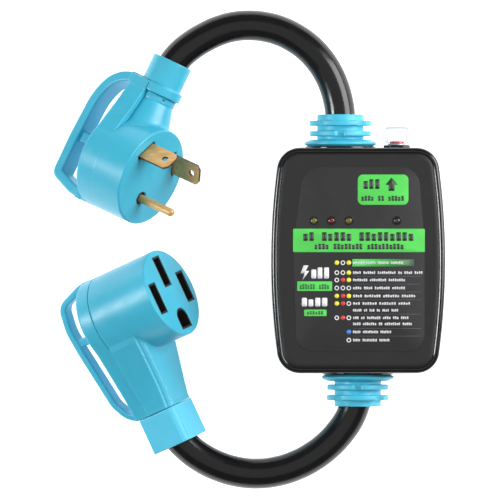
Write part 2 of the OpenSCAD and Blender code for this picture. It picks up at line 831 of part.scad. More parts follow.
// Raised panel on both sides of the neck, whose upper end slopes into the head
module conn_panel()
    intersection() {
        along_x(-conn_split, 0)
            intersection() {
                offset(delta = panel_t) mirrored_outline(neck_half_outline);
                translate([-neck_step + 0.4, -40]) square([neck_step - 0.4 + panel_top_y, 80]);
            }
        across_z(4 * neck_half)
            polygon(concat([[-60, -neck_step], [-60, -8]],
                           [for (p = neck_front_edge) p - [panel_inset, 0]]));
    }

module slot(y, z, l, w, back) translate([-back, y - l / 2, z - w / 2]) cube([back + 10, l, w]);

// Ground opening: straight at the cord's side and round at the other
module ground_slot(grow, back) {
    translate([-back, ground_end_y - grow, -ground_r - grow])
        cube([back + 10, ground_y - ground_end_y + grow, 2 * (ground_r + grow)]);
    facing_x(-back, ground_y, 0) cylinder(r = ground_r + grow, h = back + 10);
}

// All four openings, grown by grow and cut from back to beyond the face
module all_slots(grow, back) {
    slot(neutral_y, 0, slot_len + 2 * grow, slot_w + 2 * grow, back);
    for (side = [-1, 1])
        slot(0, side * slot_spread, slot_len + 2 * grow, slot_w + 2 * grow, back);
    ground_slot(grow, back);
}

module connector_front_shell()
    color(cyan)
        at_connector()
            difference() {
                union() {
                    facing_x(-conn_split, 0, 0) cylinder(d = conn_d, h = conn_split);
                    conn_neck(-conn_split, 0);
                    conn_panel();
                }
                difference() {
                    union() {
                        facing_x(-conn_split - 1, 0, 0)
                            cylinder(d = conn_d - 2 * conn_wall, h = conn_split + 1 - conn_face_t);
                        conn_neck(-conn_split - 1, 0, neck_wall);
                        translate([-conn_split - 1, -neck_step - 1, -neck_half + neck_wall])
                            cube([conn_split + 1 + neck_front - neck_wall, 4, 2 * (neck_half - neck_wall)]);
                    }
                    for (p = conn_screw_places)
                        facing_x(-conn_split, p[0], p[1]) cylinder(r = 3.6, h = 10);
                }
                for (p = conn_screw_places)
                    facing_x(-conn_split - 1, p[0], p[1]) cylinder(d = screw_d + 2 * fit, h = 10);
                all_slots(0, conn_face_t);
            }

module connector_rear_cover()
    color(cyan)
        at_connector()
            difference() {
                union() {
                    facing_x(-conn_depth, 0, 0) cylinder(d = conn_d, h = conn_depth - conn_split);
                    conn_neck(neck_back, -conn_split);
                    difference() {
                        band(conn_loop, conn_loop_r, conn_band_w, conn_band_t);
                        half_space(-conn_split - 3);
                    }
                    translate([-69.5, -7.5, -conn_band_w / 2 + 1])
                        cube([69.5 - conn_depth + 0.5, 5, conn_band_w - 2]);
                }
                difference() {
                    union() {
                        facing_x(-conn_depth + conn_wall, 0, 0)
                            cylinder(d = conn_d - 2 * conn_wall, h = conn_depth - conn_split);
                        conn_neck(neck_back + neck_wall, -conn_split + 1, neck_wall);
                        translate([neck_back + neck_wall, -neck_step - 1, -neck_half + neck_wall])
                            cube([10, 4, 2 * (neck_half - neck_wall)]);
                    }
                    for (p = conn_screw_places)
                        facing_x(-conn_depth, p[0], p[1]) cylinder(r = 3.6, h = conn_depth - conn_split);
                }
                for (p = conn_screw_places) {
                    facing_x(-conn_depth - 30, p[0], p[1]) cylinder(d = screw_d + 0.4, h = 60);
                    facing_x(-conn_depth - 1, p[0], p[1]) cylinder(d = screw_head_d + 0.4, h = 4);
                }
            }

module connector_sleeve()
    color(cyan)
        at_connector()
            difference() {
                along_x(sleeve_back, neck_front)
                    mirrored_outline([[-neck_step, neck_half], [-neck_end, neck_half]]);
                along_x(sleeve_back + 1.5, neck_front - 1.5)
                    mirrored_outline([[-neck_step + 1, neck_half - neck_wall],
                                      [-neck_end - 1, neck_half - neck_wall]]);
            }

// Black block behind the face whose hollow collars line the openings
module contact_carrier()
    color([0.15, 0.15, 0.15])
        at_connector()
            difference() {
                union() {
                    facing_x(-28, 0, 0) cylinder(r = carrier_r, h = 28 - conn_face_t - 0.2);
                    intersection() {
                        all_slots(-liner_gap, conn_face_t + 1);
                        facing_x(-10, 0, 0) cylinder(d = conn_d, h = 9.7);
                    }
                }
                all_slots(-liner_gap - liner_t, 40);
            }

// Two spring leaves joined at the back, open towards the face
module contact(y, z) {
    w = slot_w - 2 * (liner_gap + liner_t) - 0.2;
    l = slot_len - 2 * (liner_gap + liner_t) - 0.6;
    translate([-30, y - l / 2, z])
        difference() {
            translate([0, 0, -w / 2]) cube([22, l, w]);
            translate([3, -1, -w / 2 + 0.9]) cube([30, l + 2, w - 1.8]);
        }
}

module hot_contacts() color(brass) at_connector() for (side = [-1, 1]) contact(0, side * slot_spread);
module neutral_contact() color(brass) at_connector() contact(neutral_y, 0);

module ground_contact()
    color(brass)
        at_connector()
            facing_x(-30, ground_y, 0)
                difference() {
                    cylinder(r = 4.7, h = 20);
                    translate([0, 0, 3]) cylinder(r = 3.9, h = 30);
                }

module connector_cord_clamp()
    color("silver")
        at_connector() translate([cord_x, -56, 0])
            difference() {
                translate([-9.2, 0, -10.5]) cube([9.2, 6, 21]);
                translate([0, -1, 0]) rotate([-90, 0, 0]) cylinder(r = cable_d / 2 + 0.25, h = 8);
            }

module connector_screws()
    color("silver")
        at_connector()
            for (p = conn_screw_places)
                facing_x(-conn_depth + 0.3, p[0], p[1]) screw(screw_d, screw_head_d, 2.5, 16);

module connector_wires()
    color([0.15, 0.15, 0.15])
        at_connector() {
            for (side = [-1, 1])
                wire([[-35, -49, side * 5], [-34, -30, side * 6], [-33, -8, side * 7],
                      [-33, -2, side * 14]], 4.2);
            wire([[-38.5, -49, 0], [-39, -20, 0], [-39, 0, 0], [-33, neutral_y, 0]], 4.2);
            wire([[-32, -49, 0], [-32.6, -30, 0], [-32.6, ground_y, 0]], 4.2);
        }

// ---- nodes ----

rear_case();
front_case();
case_seal();
case_screws();
overlay_label();
reset_sticker();
title_bar();
rating_badges();
yellow_lenses();
red_lens();
blue_lens();
circuit_board();
board_screws();
led_lamps();
varistors();
filter_capacitor();
thermal_fuses();
terminal_block();
block_screws();
hot_wires();
neutral_wires();
ground_wires();
breaker_body();
breaker_terminals();
breaker_bushing();
breaker_nut();
reset_button();
reset_boot();
upper_gland();
lower_gland();
gland_locknuts();
plug_cable();
connector_cable();
plug_front_shell();
plug_rear_cover();
plug_sleeve();
plug_blade_base();
hot_blade();
neutral_blade();
ground_pin();
plug_cord_clamp();
plug_screws();
plug_wires();
connector_front_shell();
connector_rear_cover();
connector_sleeve();
contact_carrier();
hot_contacts();
neutral_contact();
ground_contact();
connector_cord_clamp();
connector_screws();
connector_wires();
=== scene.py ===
"""Looks for an in-line surge protector: a black control box with two short cables, a cyan plug
and a cyan connector. Lengths are in millimetres in the CAD's frame, and MM turns them to metres."""

import json
from math import acos, atan2, cos, degrees, pi, radians, sin, sqrt, tan

import bpy
import numpy as np
from mathutils import Matrix, Vector

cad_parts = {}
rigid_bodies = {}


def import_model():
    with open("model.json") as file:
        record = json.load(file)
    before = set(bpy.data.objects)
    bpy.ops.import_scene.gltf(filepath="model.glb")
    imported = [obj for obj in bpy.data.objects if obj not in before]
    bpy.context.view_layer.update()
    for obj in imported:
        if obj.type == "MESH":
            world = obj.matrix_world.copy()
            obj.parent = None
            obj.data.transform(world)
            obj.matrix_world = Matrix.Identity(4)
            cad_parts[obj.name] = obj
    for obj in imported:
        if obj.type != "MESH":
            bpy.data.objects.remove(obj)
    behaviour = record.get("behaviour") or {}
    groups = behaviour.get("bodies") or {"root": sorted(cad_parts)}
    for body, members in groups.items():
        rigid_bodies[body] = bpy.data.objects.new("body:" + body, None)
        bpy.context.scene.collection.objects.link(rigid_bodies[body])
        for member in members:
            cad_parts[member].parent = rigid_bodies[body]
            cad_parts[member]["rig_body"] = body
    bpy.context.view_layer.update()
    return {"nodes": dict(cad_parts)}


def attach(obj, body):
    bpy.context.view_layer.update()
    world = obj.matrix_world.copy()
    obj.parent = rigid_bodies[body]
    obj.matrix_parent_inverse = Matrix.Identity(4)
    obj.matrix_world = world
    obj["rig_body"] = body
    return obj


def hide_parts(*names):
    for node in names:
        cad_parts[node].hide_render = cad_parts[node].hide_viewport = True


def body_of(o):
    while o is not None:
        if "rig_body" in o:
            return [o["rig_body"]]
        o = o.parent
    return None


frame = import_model()

MM = 0.001
BODY = "protector"
BUTTON = "button"

# ---- sizes shared with the CAD

BOX_W, BOX_H, BOX_D = 100, 131, 56
SIDE_R, CORNER_R = 410, 13
SPLIT_Z, SEAL_T = 42, 0.6
END_Y = BOX_H / 2
END_RECESS = 0.8
GLAND_Z = 28
UPPER_X, LOWER_X = -10, 0
BREAKER_X = 22.5
CABLE_D = 17.5
LABEL_TOP = BOX_D + 0.12
LENS_Y = 22.8

PLUG_ROUTE = [
    (-10, 56, 28), (-10, 62, 28), (-10, 68, 28), (-10, 76, 28), (-10.1, 84, 28),
    (-11.4, 92.5, 27.9), (-13.9, 101, 27.6), (-17.6, 109, 27.3), (-22.7, 116.5, 27),
    (-29, 123, 26.8), (-36.3, 128.2, 26.7), (-44.4, 132.2, 26.8), (-53, 134.6, 27.1),
    (-61.9, 135.5, 27.6), (-70.8, 134.9, 28.3), (-79.5, 132.6, 29), (-87.8, 128.8, 29.7),
    (-95.6, 124, 30.2), (-102.6, 118.1, 30.5), (-107.7, 111.3, 30.7), (-111.4, 104.2, 30.7),
    (-114.6, 97.4, 30.7), (-117.6, 91, 30.7), (-120.2, 85.5, 30.7), (-123.5, 78.5, 30.7),
]
CONNECTOR_ROUTE = [
    (0.6, -56, 28), (0.6, -61, 28), (0.6, -66, 28), (0.4, -72, 28), (-0.4, -78, 27.9),
    (-1.9, -84, 27.8), (-5.2, -91.7, 27.5), (-10.6, -99.5, 27), (-17.5, -106.8, 26.8),
    (-26, -113.2, 26.8), (-35.6, -118.2, 26.9), (-46.4, -121.6, 27.2), (-58, -122.9, 27.7),
    (-69.4, -121.8, 28.2), (-80.2, -118.6, 28.7), (-89.8, -113.8, 29.1), (-97.5, -108.1, 29.4),
    (-103.6, -101.7, 29.5), (-107.2, -93.9, 29.5), (-110.7, -86, 29.5), (-114.6, -76.7, 29.5),
]

# ---- camera, lights and world

scene = bpy.context.scene


def add_object(name, data):
    obj = bpy.data.objects.new(name, data)
    scene.collection.objects.link(obj)
    return obj


def add_camera():
    """Looks straight down from far off, so that the view is nearly parallel."""
    view_centre = (-62.1, 6, 42)
    view_width = 287.5
    distance = 6000
    data = bpy.data.cameras.new("camera")
    data.sensor_width = 36
    data.lens = data.sensor_width * distance / view_width
    data.clip_end = 20
    scene.camera = add_object("camera", data)
    scene.camera.location = Vector(view_centre) * MM + Vector((0, 0, distance * MM))


def add_light(name, place, aim, size, power):
    data = bpy.data.lights.new(name, "AREA")
    data.shape = "RECTANGLE"
    data.size, data.size_y = size
    data.energy = power
    light = add_object(name, data)
    light.location = place
    light.rotation_euler = (Vector(aim) - Vector(place)).to_track_quat("-Z", "Y").to_euler()


def add_world(strength):
    world = bpy.data.worlds.new("studio")
    scene.world = world
    world.use_nodes = True
    background = world.node_tree.nodes["Background"]
    background.inputs["Color"].default_value = (1, 1, 1, 1)
    background.inputs["Strength"].default_value = strength


add_camera()
scene.view_settings.view_transform = "Standard"
middle = (-0.062, 0.006, 0.03)
add_light("key", (1.25, 0.45, 0.8), middle, (1.1, 1.1), 33)
add_light("side", (-1.3, 0.05, 0.85), middle, (0.35, 0.5), 14)
add_light("top", (middle[0], middle[1], 1.9), middle, (2.4, 2.4), 9)
add_world(0.17)

# ---- materials


def srgb(rgb):
    """Linear colour from 8-bit screen values."""
    def linear(c):
        c = c / 255
        return c / 12.92 if c <= 0.04045 else ((c + 0.055) / 1.055) ** 2.4
    return tuple(linear(c) for c in rgb) + (1,)


def tint(colour, factor):
    return tuple(min(1, c * factor) for c in colour[:3]) + (1,)


class Look:
    """A Principled material whose colour, roughness and bump come from nodes."""

    def __init__(self, name, metallic=0, ior=1.5, coat=0, coat_roughness=0.1, transmission=0):
        self.material = bpy.data.materials.new(name)
        self.material.use_nodes = True
        self.tree = self.material.node_tree
        self.shader = self.tree.nodes["Principled BSDF"]
        for key, value in (("Metallic", metallic), ("IOR", ior), ("Coat Weight", coat),
                ("Coat Roughness", coat_roughness), ("Transmission Weight", transmission)):
            self.shader.inputs[key].default_value = value
        self.place = self.tree.nodes.new("ShaderNodeTexCoord").outputs["Object"]

    def link(self, output, socket):
        self.tree.links.new(output, socket)

    def node(self, kind, **inputs):
        node = self.tree.nodes.new(kind)
        for key, value in inputs.items():
            node.inputs[key.replace("_", " ")].default_value = value
        return node

    def stretched(self, scale):
        mapping = self.node("ShaderNodeMapping", Scale=scale)
        self.link(self.place, mapping.inputs["Vector"])
        return mapping.outputs["Vector"]

    def noise(self, scale, detail=3, roughness=0.55, place=None):
        node = self.node("ShaderNodeTexNoise", Scale=scale, Detail=detail, Roughness=roughness)
        self.link(place or self.place, node.inputs["Vector"])
        return node.outputs["Fac"]

    def spots(self, scale):
        node = self.node("ShaderNodeTexVoronoi", Scale=scale)
        self.link(self.place, node.inputs["Vector"])
        return node.outputs["Distance"]

    def ramp(self, factor, stops):
        node = self.node("ShaderNodeValToRGB")
        for element, stop in zip(node.color_ramp.elements, (stops[0], stops[-1])):
            element.position, element.color = stop
        for position, colour in stops[1:-1]:
            node.color_ramp.elements.new(position).color = colour
        self.link(factor, node.inputs["Fac"])
        return node.outputs["Color"]

    def blend(self, factor, a, b):
        return self.ramp(factor, [(0.3, a), (0.7, b)])

    def spread(self, factor, low, high):
        """Carries the usual span of a noise over to low..high."""
        node = self.node("ShaderNodeMapRange", From_Min=0.3, From_Max=0.7, To_Min=low, To_Max=high)
        self.link(factor, node.inputs["Value"])
        return node.outputs["Result"]

    def mix(self, factor, a, b):
        """Shades the colour output a towards the colour b."""
        node = self.node("ShaderNodeMix")
        node.data_type = "RGBA"
        self.link(factor, node.inputs["Factor"])
        self.link(a, node.inputs["A"])
        node.inputs["B"].default_value = b
        return node.outputs["Result"]

    def colour(self, output):
        self.link(output, self.shader.inputs["Base Color"])

    def roughness(self, factor, low, high):
        self.link(self.spread(factor, low, high), self.shader.inputs["Roughness"])

    def bump(self, height, depth, strength, below=None):
        """Relief of a depth in millimetres, on top of the relief below."""
        node = self.node("ShaderNodeBump", Strength=strength, Distance=depth * MM)
        self.link(height, node.inputs["Height"])
        if below is not None:
            self.link(below, node.inputs["Normal"])
        self.link(node.outputs["Normal"], self.shader.inputs["Normal"])
        return node.outputs["Normal"]


def moulded(name, rgb, rough, grain, coat=0):
    """Moulded plastic: drifting colour, uneven gloss and a grain in millimetres."""
    look, base = Look(name, coat=coat), srgb(rgb)
    slow = look.noise(28, 3)
    fine = look.noise(2600, 2)
    body = look.blend(slow, tint(base, 0.92), tint(base, 1.08))
    look.colour(look.mix(look.spread(fine, 0, 0.16), body, tint(base, 0.8)))
    look.roughness(look.noise(160, 4), rough - 0.05, rough + 0.07)
    flow = look.bump(look.noise(90, 2), 0.12, 0.35)
    look.bump(look.noise(3200, 2), grain, 0.5, below=flow)
    return look.material


def rubber_jacket():
    """Cable jacket: faint scuffs, shallow waves and a waxy gloss."""
    look = Look("cable_jacket", ior=1.4, coat=0.15, coat_roughness=0.1)
    base = srgb((15, 15, 17))
    scuff = look.noise(420, 5, 0.65)
    look.colour(look.ramp(scuff, [(0.35, tint(base, 0.75)), (0.62, base), (0.8, tint(base, 2.1))]))
    look.roughness(look.noise(120, 4), 0.16, 0.26)
    waves = look.bump(look.noise(55, 2), 0.4, 0.3)
    look.bump(look.noise(1500, 3), 0.03, 0.45, below=waves)
    return look.material


def turned_brass():
    """Stamped brass with rolling streaks, darker tarnish clouds and fine scratches."""
    look = Look("brass", metallic=0.2)
    bright, warm, dull = srgb((226, 190, 128)), srgb((204, 160, 98)), srgb((158, 112, 66))
    streak = look.noise(60, 4, 0.6, look.stretched((1, 14, 14)))
    cloud = look.noise(130, 5, 0.6)
    rolled = look.ramp(streak, [(0.35, warm), (0.65, bright)])
    look.colour(look.mix(look.spread(cloud, 0, 0.4), rolled, dull))
    look.roughness(cloud, 0.28, 0.42)
    look.bump(look.noise(700, 3, 0.6, look.stretched((1, 18, 18))), 0.03, 0.6)
    return look.material


def plated_steel():
    """Plated steel with faint drawn streaks."""
    look = Look("steel", metallic=1)
    streak = look.noise(220, 4, 0.6, look.stretched((1, 1, 8)))
    look.colour(look.blend(streak, srgb((150, 152, 156)), srgb((205, 206, 208))))
    look.roughness(look.noise(300, 3), 0.22, 0.42)
    look.bump(look.noise(1500, 3), 0.02, 0.5)
    return look.material


def printed(name, rgb, rough=0.42, drift=0.1):
    """Printed film or ink: halftone speckle over a slightly uneven ground."""
    look, base = Look(name), srgb(rgb)
    speckle = look.spots(2400)
    ground = look.blend(look.noise(70, 3), tint(base, 1 - drift), tint(base, 1 + drift))
    look.colour(look.mix(look.spread(speckle, 0, 0.12), ground, tint(base, 0.72)))
    look.roughness(look.noise(240, 3), rough - 0.06, rough + 0.08)
    look.bump(look.noise(1800, 2), 0.02, 0.4)
    return look.material


def gradient_print(name, start, end, x0, x1):
    """Printed bar that fades from one colour to another along x."""
    look = Look(name)
    split = look.node("ShaderNodeSeparateXYZ")
    look.link(look.place, split.inputs["Vector"])
    along = look.node("ShaderNodeMapRange", From_Min=x0 * MM, From_Max=x1 * MM)
    look.link(split.outputs["X"], along.inputs["Value"])
    look.colour(look.ramp(along.outputs["Result"], [(0, start), (0.45, tint(start, 0.6)), (1, end)]))
    look.roughness(look.noise(240, 3), 0.36, 0.5)
    return look.material


def clear_vinyl():
    """Soft clear vinyl with a slight cloudiness."""
    look = Look("clear_vinyl", ior=1.12, transmission=0.95)
    cloudy, clear = (0.86, 0.86, 0.88, 1), (0.95, 0.95, 0.96, 1)
    look.colour(look.blend(look.noise(120, 2), cloudy, clear))
    look.roughness(look.noise(300, 3), 0.03, 0.1)
    look.bump(look.noise(160, 2), 0.2, 0.3)
    return look.material


def lamp_lens(name, rgb):
    """Unlit lens with a fine prismatic pattern under a gloss."""
    look, base = Look(name, coat=0.5, coat_roughness=0.05), srgb(rgb)
    look.colour(look.blend(look.noise(900, 2), tint(base, 0.6), tint(base, 1.25)))
    look.roughness(look.noise(500, 2), 0.12, 0.24)
    look.bump(look.spots(1300), 0.08, 0.5)
    return look.material


cyan_shell = moulded("cyan_shell", (60, 174, 203), 0.34, 0.03)
cyan_sleeve = moulded("cyan_sleeve", (82, 194, 226), 0.36, 0.03)
cyan_gland = moulded("cyan_gland", (62, 184, 212), 0.42, 0.04)
black_gloss = moulded("black_gloss", (10, 10, 11), 0.14, 0.01)
black_face = moulded("black_face", (18, 18, 19), 0.5, 0.04)
panel_film = printed("panel_film", (30, 30, 32), 0.55, 0.08)
black_nylon = moulded("black_nylon", (20, 20, 22), 0.5, 0.04)
seal_rubber = moulded("seal_rubber", (14, 14, 15), 0.6, 0.04)
green_print = printed("green_print", (80, 204, 82))
dark_print = printed("dark_print", (40, 62, 44))
badge_print = printed("badge_print", (38, 110, 48))
white_print = printed("white_print", (232, 232, 234))
line_print = printed("line_print", (206, 206, 208))
grey_print = printed("grey_print", (86, 86, 90))
yellow_print = printed("yellow_print", (238, 228, 66))
red_print = printed("red_print", (214, 58, 56))
blue_print = printed("blue_print", (64, 128, 206))
fade_print = gradient_print("fade_print", srgb((92, 226, 104)), srgb((52, 58, 54)), -3, 33)
jacket = rubber_jacket()
brass = turned_brass()
# Painted shade: dark brown for the shaded edge faces of the blades
brass_edge_shade = moulded("brass_edge_shade", (84, 60, 34), 0.4, 0.03)
steel = plated_steel()
vinyl = clear_vinyl()
# Painted shade: dark grey for the shaded outline of the clear boot
boot_edge_shade = moulded("boot_edge_shade", (72, 68, 74), 0.4, 0.03)
red_plastic = moulded("red_plastic", (214, 26, 34), 0.25, 0.02, coat=0.3)
yellow_lamp = lamp_lens("yellow_lamp", (96, 92, 34))
red_lamp = lamp_lens("red_lamp", (96, 22, 30))
dark_lamp = lamp_lens("dark_lamp", (34, 36, 44))
board_green = printed("board_green", (22, 104, 60), 0.35)
disc_blue = moulded("disc_blue", (40, 84, 170), 0.4, 0.04)
film_amber = moulded("film_amber", (214, 164, 52), 0.35, 0.03)
pale_nylon = moulded("pale_nylon", (214, 212, 202), 0.5, 0.04)
lamp_clear = moulded("lamp_clear", (226, 226, 220), 0.15, 0.01)
core_black = moulded("core_black", (28, 28, 30), 0.4, 0.03)
core_white = moulded("core_white", (226, 226, 224), 0.4, 0.03)
core_green = moulded("core_green", (34, 132, 70), 0.4, 0.03)

# ---- mesh helpers


def place(obj, material, slot, node=None, body=BODY):
    """Gives a piece its material and body, and hides the CAD node that it stands for. The slot is not used.
    """
    obj.data.materials.append(material)
    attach(obj, body)
    if node:
        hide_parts(node)
    return obj


def mesh_object(name, points, faces, smooth=True):
    """Object from points in millimetres."""
    mesh = bpy.data.meshes.new(name)
    mesh.from_pydata((np.asarray(points, float) * MM).tolist(), [], [list(map(int, f)) for f in faces])
    mesh.validate()
    mesh.update()
    if smooth:
        mesh.shade_smooth()
    return add_object(name, mesh)


def apply_modifier(obj, kind, **settings):
    modifier = obj.modifiers.new(kind.lower(), kind)
    for key, value in settings.items():
        setattr(modifier, key, value)
    bpy.context.view_layer.objects.active = obj
    bpy.ops.object.modifier_apply(modifier=modifier.name)


def turned(turn):
    """Rotation of a shape laid down by an OpenSCAD rotate([x, y, z])."""
    x, y, z = (radians(a) for a in turn)
    return Matrix.Rotation(z, 3, "Z") @ Matrix.Rotation(y, 3, "Y") @ Matrix.Rotation(x, 3, "X")


class Seat:
    """A local frame on the object: where its origin is and how it is turned."""

    def __init__(self, at, turn=(0, 0, 0)):
        self.at = np.array(at, float)
        self.axes = np.array(turned(turn))

    def world(self, points):
        return np.asarray(points, float) @ self.axes.T + self.at


PLUG = Seat((-119, 47.7, 41.7), (0, -32.6, -25.2))
CONNECTOR = Seat((-107.1, -18.2, 46.9), (0, -29, 24.8))
UPPER_END = Seat((UPPER_X, END_Y, GLAND_Z), (-90, 0, 0))
LOWER_END = Seat((LOWER_X, -END_Y, GLAND_Z), (90, 0, 0))
BREAKER_DROP = 2
BREAKER_END = Seat((BREAKER_X, END_Y - BREAKER_DROP, GLAND_Z), (-90, 0, 0))


def arc(cx, cy, r, a0, a1, n):
    return [(cx + r * cos(radians(a0 + (a1 - a0) * i / n)),
            cy + r * sin(radians(a0 + (a1 - a0) * i / n))) for i in range(n + 1)]


def rounded(points, radii, n=10):
    """Closed outline whose corners are arcs of the radii given."""
    out = []
    count = len(points)
    for i, r in enumerate(radii):
        p0, p1, p2 = (Vector(points[(i + k) % count]) for k in (-1, 0, 1))
        a, b = (p0 - p1).normalized(), (p2 - p1).normalized()
        half = acos(max(-1, min(1, a.dot(b)))) / 2
        centre = p1 + (a + b).normalized() * r / sin(half)
        s, e = p1 + a * r / tan(half) - centre, p1 + b * r / tan(half) - centre
        a0, a1 = degrees(atan2(s.y, s.x)), degrees(atan2(e.y, e.x))
        sweep = (a1 - a0 + 540) % 360 - 180
        out += arc(centre.x, centre.y, r, a0, a0 + sweep, n)
    return out


def barrel(inset):
    """Outline of the box, moved inwards by inset: straight ends, bowed sides, round corners."""
    r, corner_r = SIDE_R - inset, max(0.5, CORNER_R - inset)
    side, cy = SIDE_R - BOX_W / 2, END_Y - END_RECESS - inset - corner_r
    cx = sqrt((r - corner_r) ** 2 - cy * cy) - side
    a = degrees(atan2(cy, cx + side))
    half = arc(-side, 0, r, -a, a, 28)[:-1]
    half += arc(cx, cy, corner_r, a, 90, 16) + arc(-cx, cy, corner_r, 90, 180 - a, 16)[:-1]
    return half + [(-x, -y) for x, y in half]


def loft(name, rings):
    """Skin through rings with the same number of points, closed by a fan at each end."""
    count = len(rings[0])
    points = [p for ring in rings for p in ring]
    faces = []
    for i in range(len(rings) - 1):
        for k in range(count):
            a, b = i * count + k, i * count + (k + 1) % count
            faces.append((a, b, b + count, a + count))
    for ring, flip in ((0, True), (len(rings) - 1, False)):
        hub = len(points)
        points.append(tuple(np.mean(np.array(rings[ring]), axis=0)))
        for k in range(count):
            a, b = ring * count + k, ring * count + (k + 1) % count
            faces.append((b, a, hub) if flip else (a, b, hub))
    return mesh_object(name, points, faces)


def lathe(name, profile, seat, segments=96, radius=None):
    """Closed solid turned about the seat's z axis from a closed (radius, height) profile.

    A radius function of (radius, height, angle) makes it other than round."""
    rings = []
    for k in range(segments):
        angle = 2 * pi * k / segments
        radii = [radius(r, h, angle) if radius else r for r, h in profile]
        rings.append(seat.world([(r * cos(angle), r * sin(angle), h)
                for r, (_, h) in zip(radii, profile)]))
    count = len(profile)
    faces = []
    for k in range(segments):
        a, b = k * count, (k + 1) % segments * count
        for i in range(count):
            m = (i + 1) % count
            faces.append((a + i, b + i, b + m, a + m))
    return mesh_object(name, np.vstack(rings), faces)


def slab(name, outline, z0, z1, ease=0, seat=None):
    """Flat plate from an outline, with an eased upper edge."""
    flat = np.array(outline, float)
    after = np.roll(flat, -1, 0)
    if np.sum(flat[:, 0] * after[:, 1] - after[:, 0] * flat[:, 1]) < 0:
        flat = flat[::-1]
    along = np.roll(flat, -1, 0) - np.roll(flat, 1, 0)
    along /= np.maximum(np.linalg.norm(along, axis=1, keepdims=True), 1e-9)
    inward = np.stack([-along[:, 1], along[:, 0]], 1)
    steps = [(0, z0), (0, z1 - ease)]
    if ease:
        steps += [(ease * 0.3, z1 - ease * 0.3), (ease, z1)]
    rings = [[(x, y, z) for x, y in flat + inset * inward] for inset, z in steps]
    if seat is not None:
        rings = [seat.world(r) for r in rings]
    return loft(name, rings)


def joined(name, objects):
    """One object from several."""
    bpy.ops.object.select_all(action="DESELECT")
    for obj in objects:
        obj.select_set(True)
    bpy.context.view_layer.objects.active = objects[0]
    if len(objects) > 1:
        bpy.ops.object.join()
    objects[0].name = name
    return objects[0]


def eased_copy(name, node, material, width, slot):
    """A piece with the CAD node's shape and softened edges, which stands for the node."""
    obj = add_object(name, frame["nodes"][node].data.copy())
    obj.data.materials.clear()
    apply_modifier(obj, "WELD", merge_threshold=0.00001)
    apply_modifier(obj, "DECIMATE", decimate_type="DISSOLVE", angle_limit=radians(1))
    apply_modifier(obj, "BEVEL", width=width * MM, segments=3, limit_method="ANGLE",
            angle_limit=radians(40), use_clamp_overlap=True)
    obj.data.shade_smooth()
    obj.data.set_sharp_from_angle(angle=radians(50))
    return place(obj, material, slot, node, body_of(frame["nodes"][node])[0])


# ---- solids from distance fields
# A field is negative inside the solid. join, meet and cut combine two fields and round the edge
# between them, as a mould's fillets do.


def join(a, b, r=0.5):
    return np.maximum(np.minimum(a, b), r) - np.hypot(np.maximum(r - a, 0), np.maximum(r - b, 0))


def meet(a, b, r=0.5):
    return np.minimum(np.maximum(a, b), -r) + np.hypot(np.maximum(r + a, 0), np.maximum(r + b, 0))


def cut(a, b, r=0.4):
    return meet(a, -b, r)


def between(v, low, high, r=0.5):
    return meet(low - v, v - high, r)


def loop_distance(x, y, path):
    """Distance in the plane to a closed line through points."""
    best = None
    for i in range(len(path)):
        (ax, ay), (bx, by) = path[i], path[(i + 1) % len(path)]
        dx, dy = bx - ax, by - ay
        t = np.clip(((x - ax) * dx + (y - ay) * dy) / max(dx * dx + dy * dy, 1e-9), 0, 1)
        d = (x - ax - t * dx) ** 2 + (y - ay - t * dy) ** 2
        best = d if best is None else np.minimum(best, d)
    return np.sqrt(best)


# Half of the narrow gap between two moulded shells
SEAM = 0.12

CORNERS = np.array([(i, j, k) for i in (0, 1) for j in (0, 1) for k in (0, 1)])
CELL_EDGES = [(a, b) for a in range(8) for b in range(a + 1, 8)
        if np.abs(CORNERS[a] - CORNERS[b]).sum() == 1]


def surface_cells(inside):
    """Grid cells with corners on both sides of the surface, and each cell's number on the grid."""
    shape = np.array(inside.shape) - 1
    count = np.zeros(shape, np.int8)
    for i, j, k in CORNERS:
        count += inside[i:i + shape[0], j:j + shape[1], k:k + shape[2]]
    cells = np.argwhere((count > 0) & (count < 8))
    number = np.full(shape, -1, np.int64)
    number[tuple(cells.T)] = np.arange(len(cells))
    return cells, number


def cell_points(values, cells):
    """A point in each cell, midway between where the surface crosses the cell's edges."""
    at_corner = np.stack([values[tuple((cells + c).T)] for c in CORNERS], 1)
    total, hits = np.zeros((len(cells), 3)), np.zeros(len(cells))
    for a, b in CELL_EDGES:
        va, vb = at_corner[:, a], at_corner[:, b]
        crossing = (va < 0) != (vb < 0)
        t = np.where(crossing, va / np.where(va == vb, 1, va - vb), 0)[:, None]
        total += crossing[:, None] * (CORNERS[a] + t * (CORNERS[b] - CORNERS[a]))
        hits += crossing
    return cells + total / hits[:, None]


def pulled(points, field, step):
    """Points moved along the field's slope onto the surface."""
    probe, furthest, rounds = 0.02, 0.4 * step, 3
    for _ in range(rounds):
        value = field(*points.T)
        slope = np.stack([(field(*(points + e).T) - field(*(points - e).T)) / (2 * probe)
                for e in np.eye(3) * probe], 1)
        move = value[:, None] * slope / np.maximum((slope ** 2).sum(1), 0.2)[:, None]
        points = points - np.clip(move, -furthest, furthest)
    return points


def surface_quads(inside, number):
    """A quad round each grid edge that the surface crosses, facing outwards."""
    faces = []
    for axis in range(3):
        u, v = (axis + 1) % 3, (axis + 2) % 3
        first = np.take(inside, range(0, inside.shape[axis] - 1), axis)
        second = np.take(inside, range(1, inside.shape[axis]), axis)
        edges = np.argwhere(first != second)
        for side in (u, v):
            edges = edges[(edges[:, side] > 0) & (edges[:, side] < number.shape[side])]
        quad = []
        for du, dv in ((-1, -1), (0, -1), (0, 0), (-1, 0)):
            cell = edges.copy()
            cell[:, u] += du
            cell[:, v] += dv
            quad.append(number[tuple(cell.T)])
        quad = np.stack(quad, 1)
        outward = first[tuple(edges.T)]
        faces.append(np.where(outward[:, None], quad, quad[:, ::-1]))
    return np.vstack(faces)


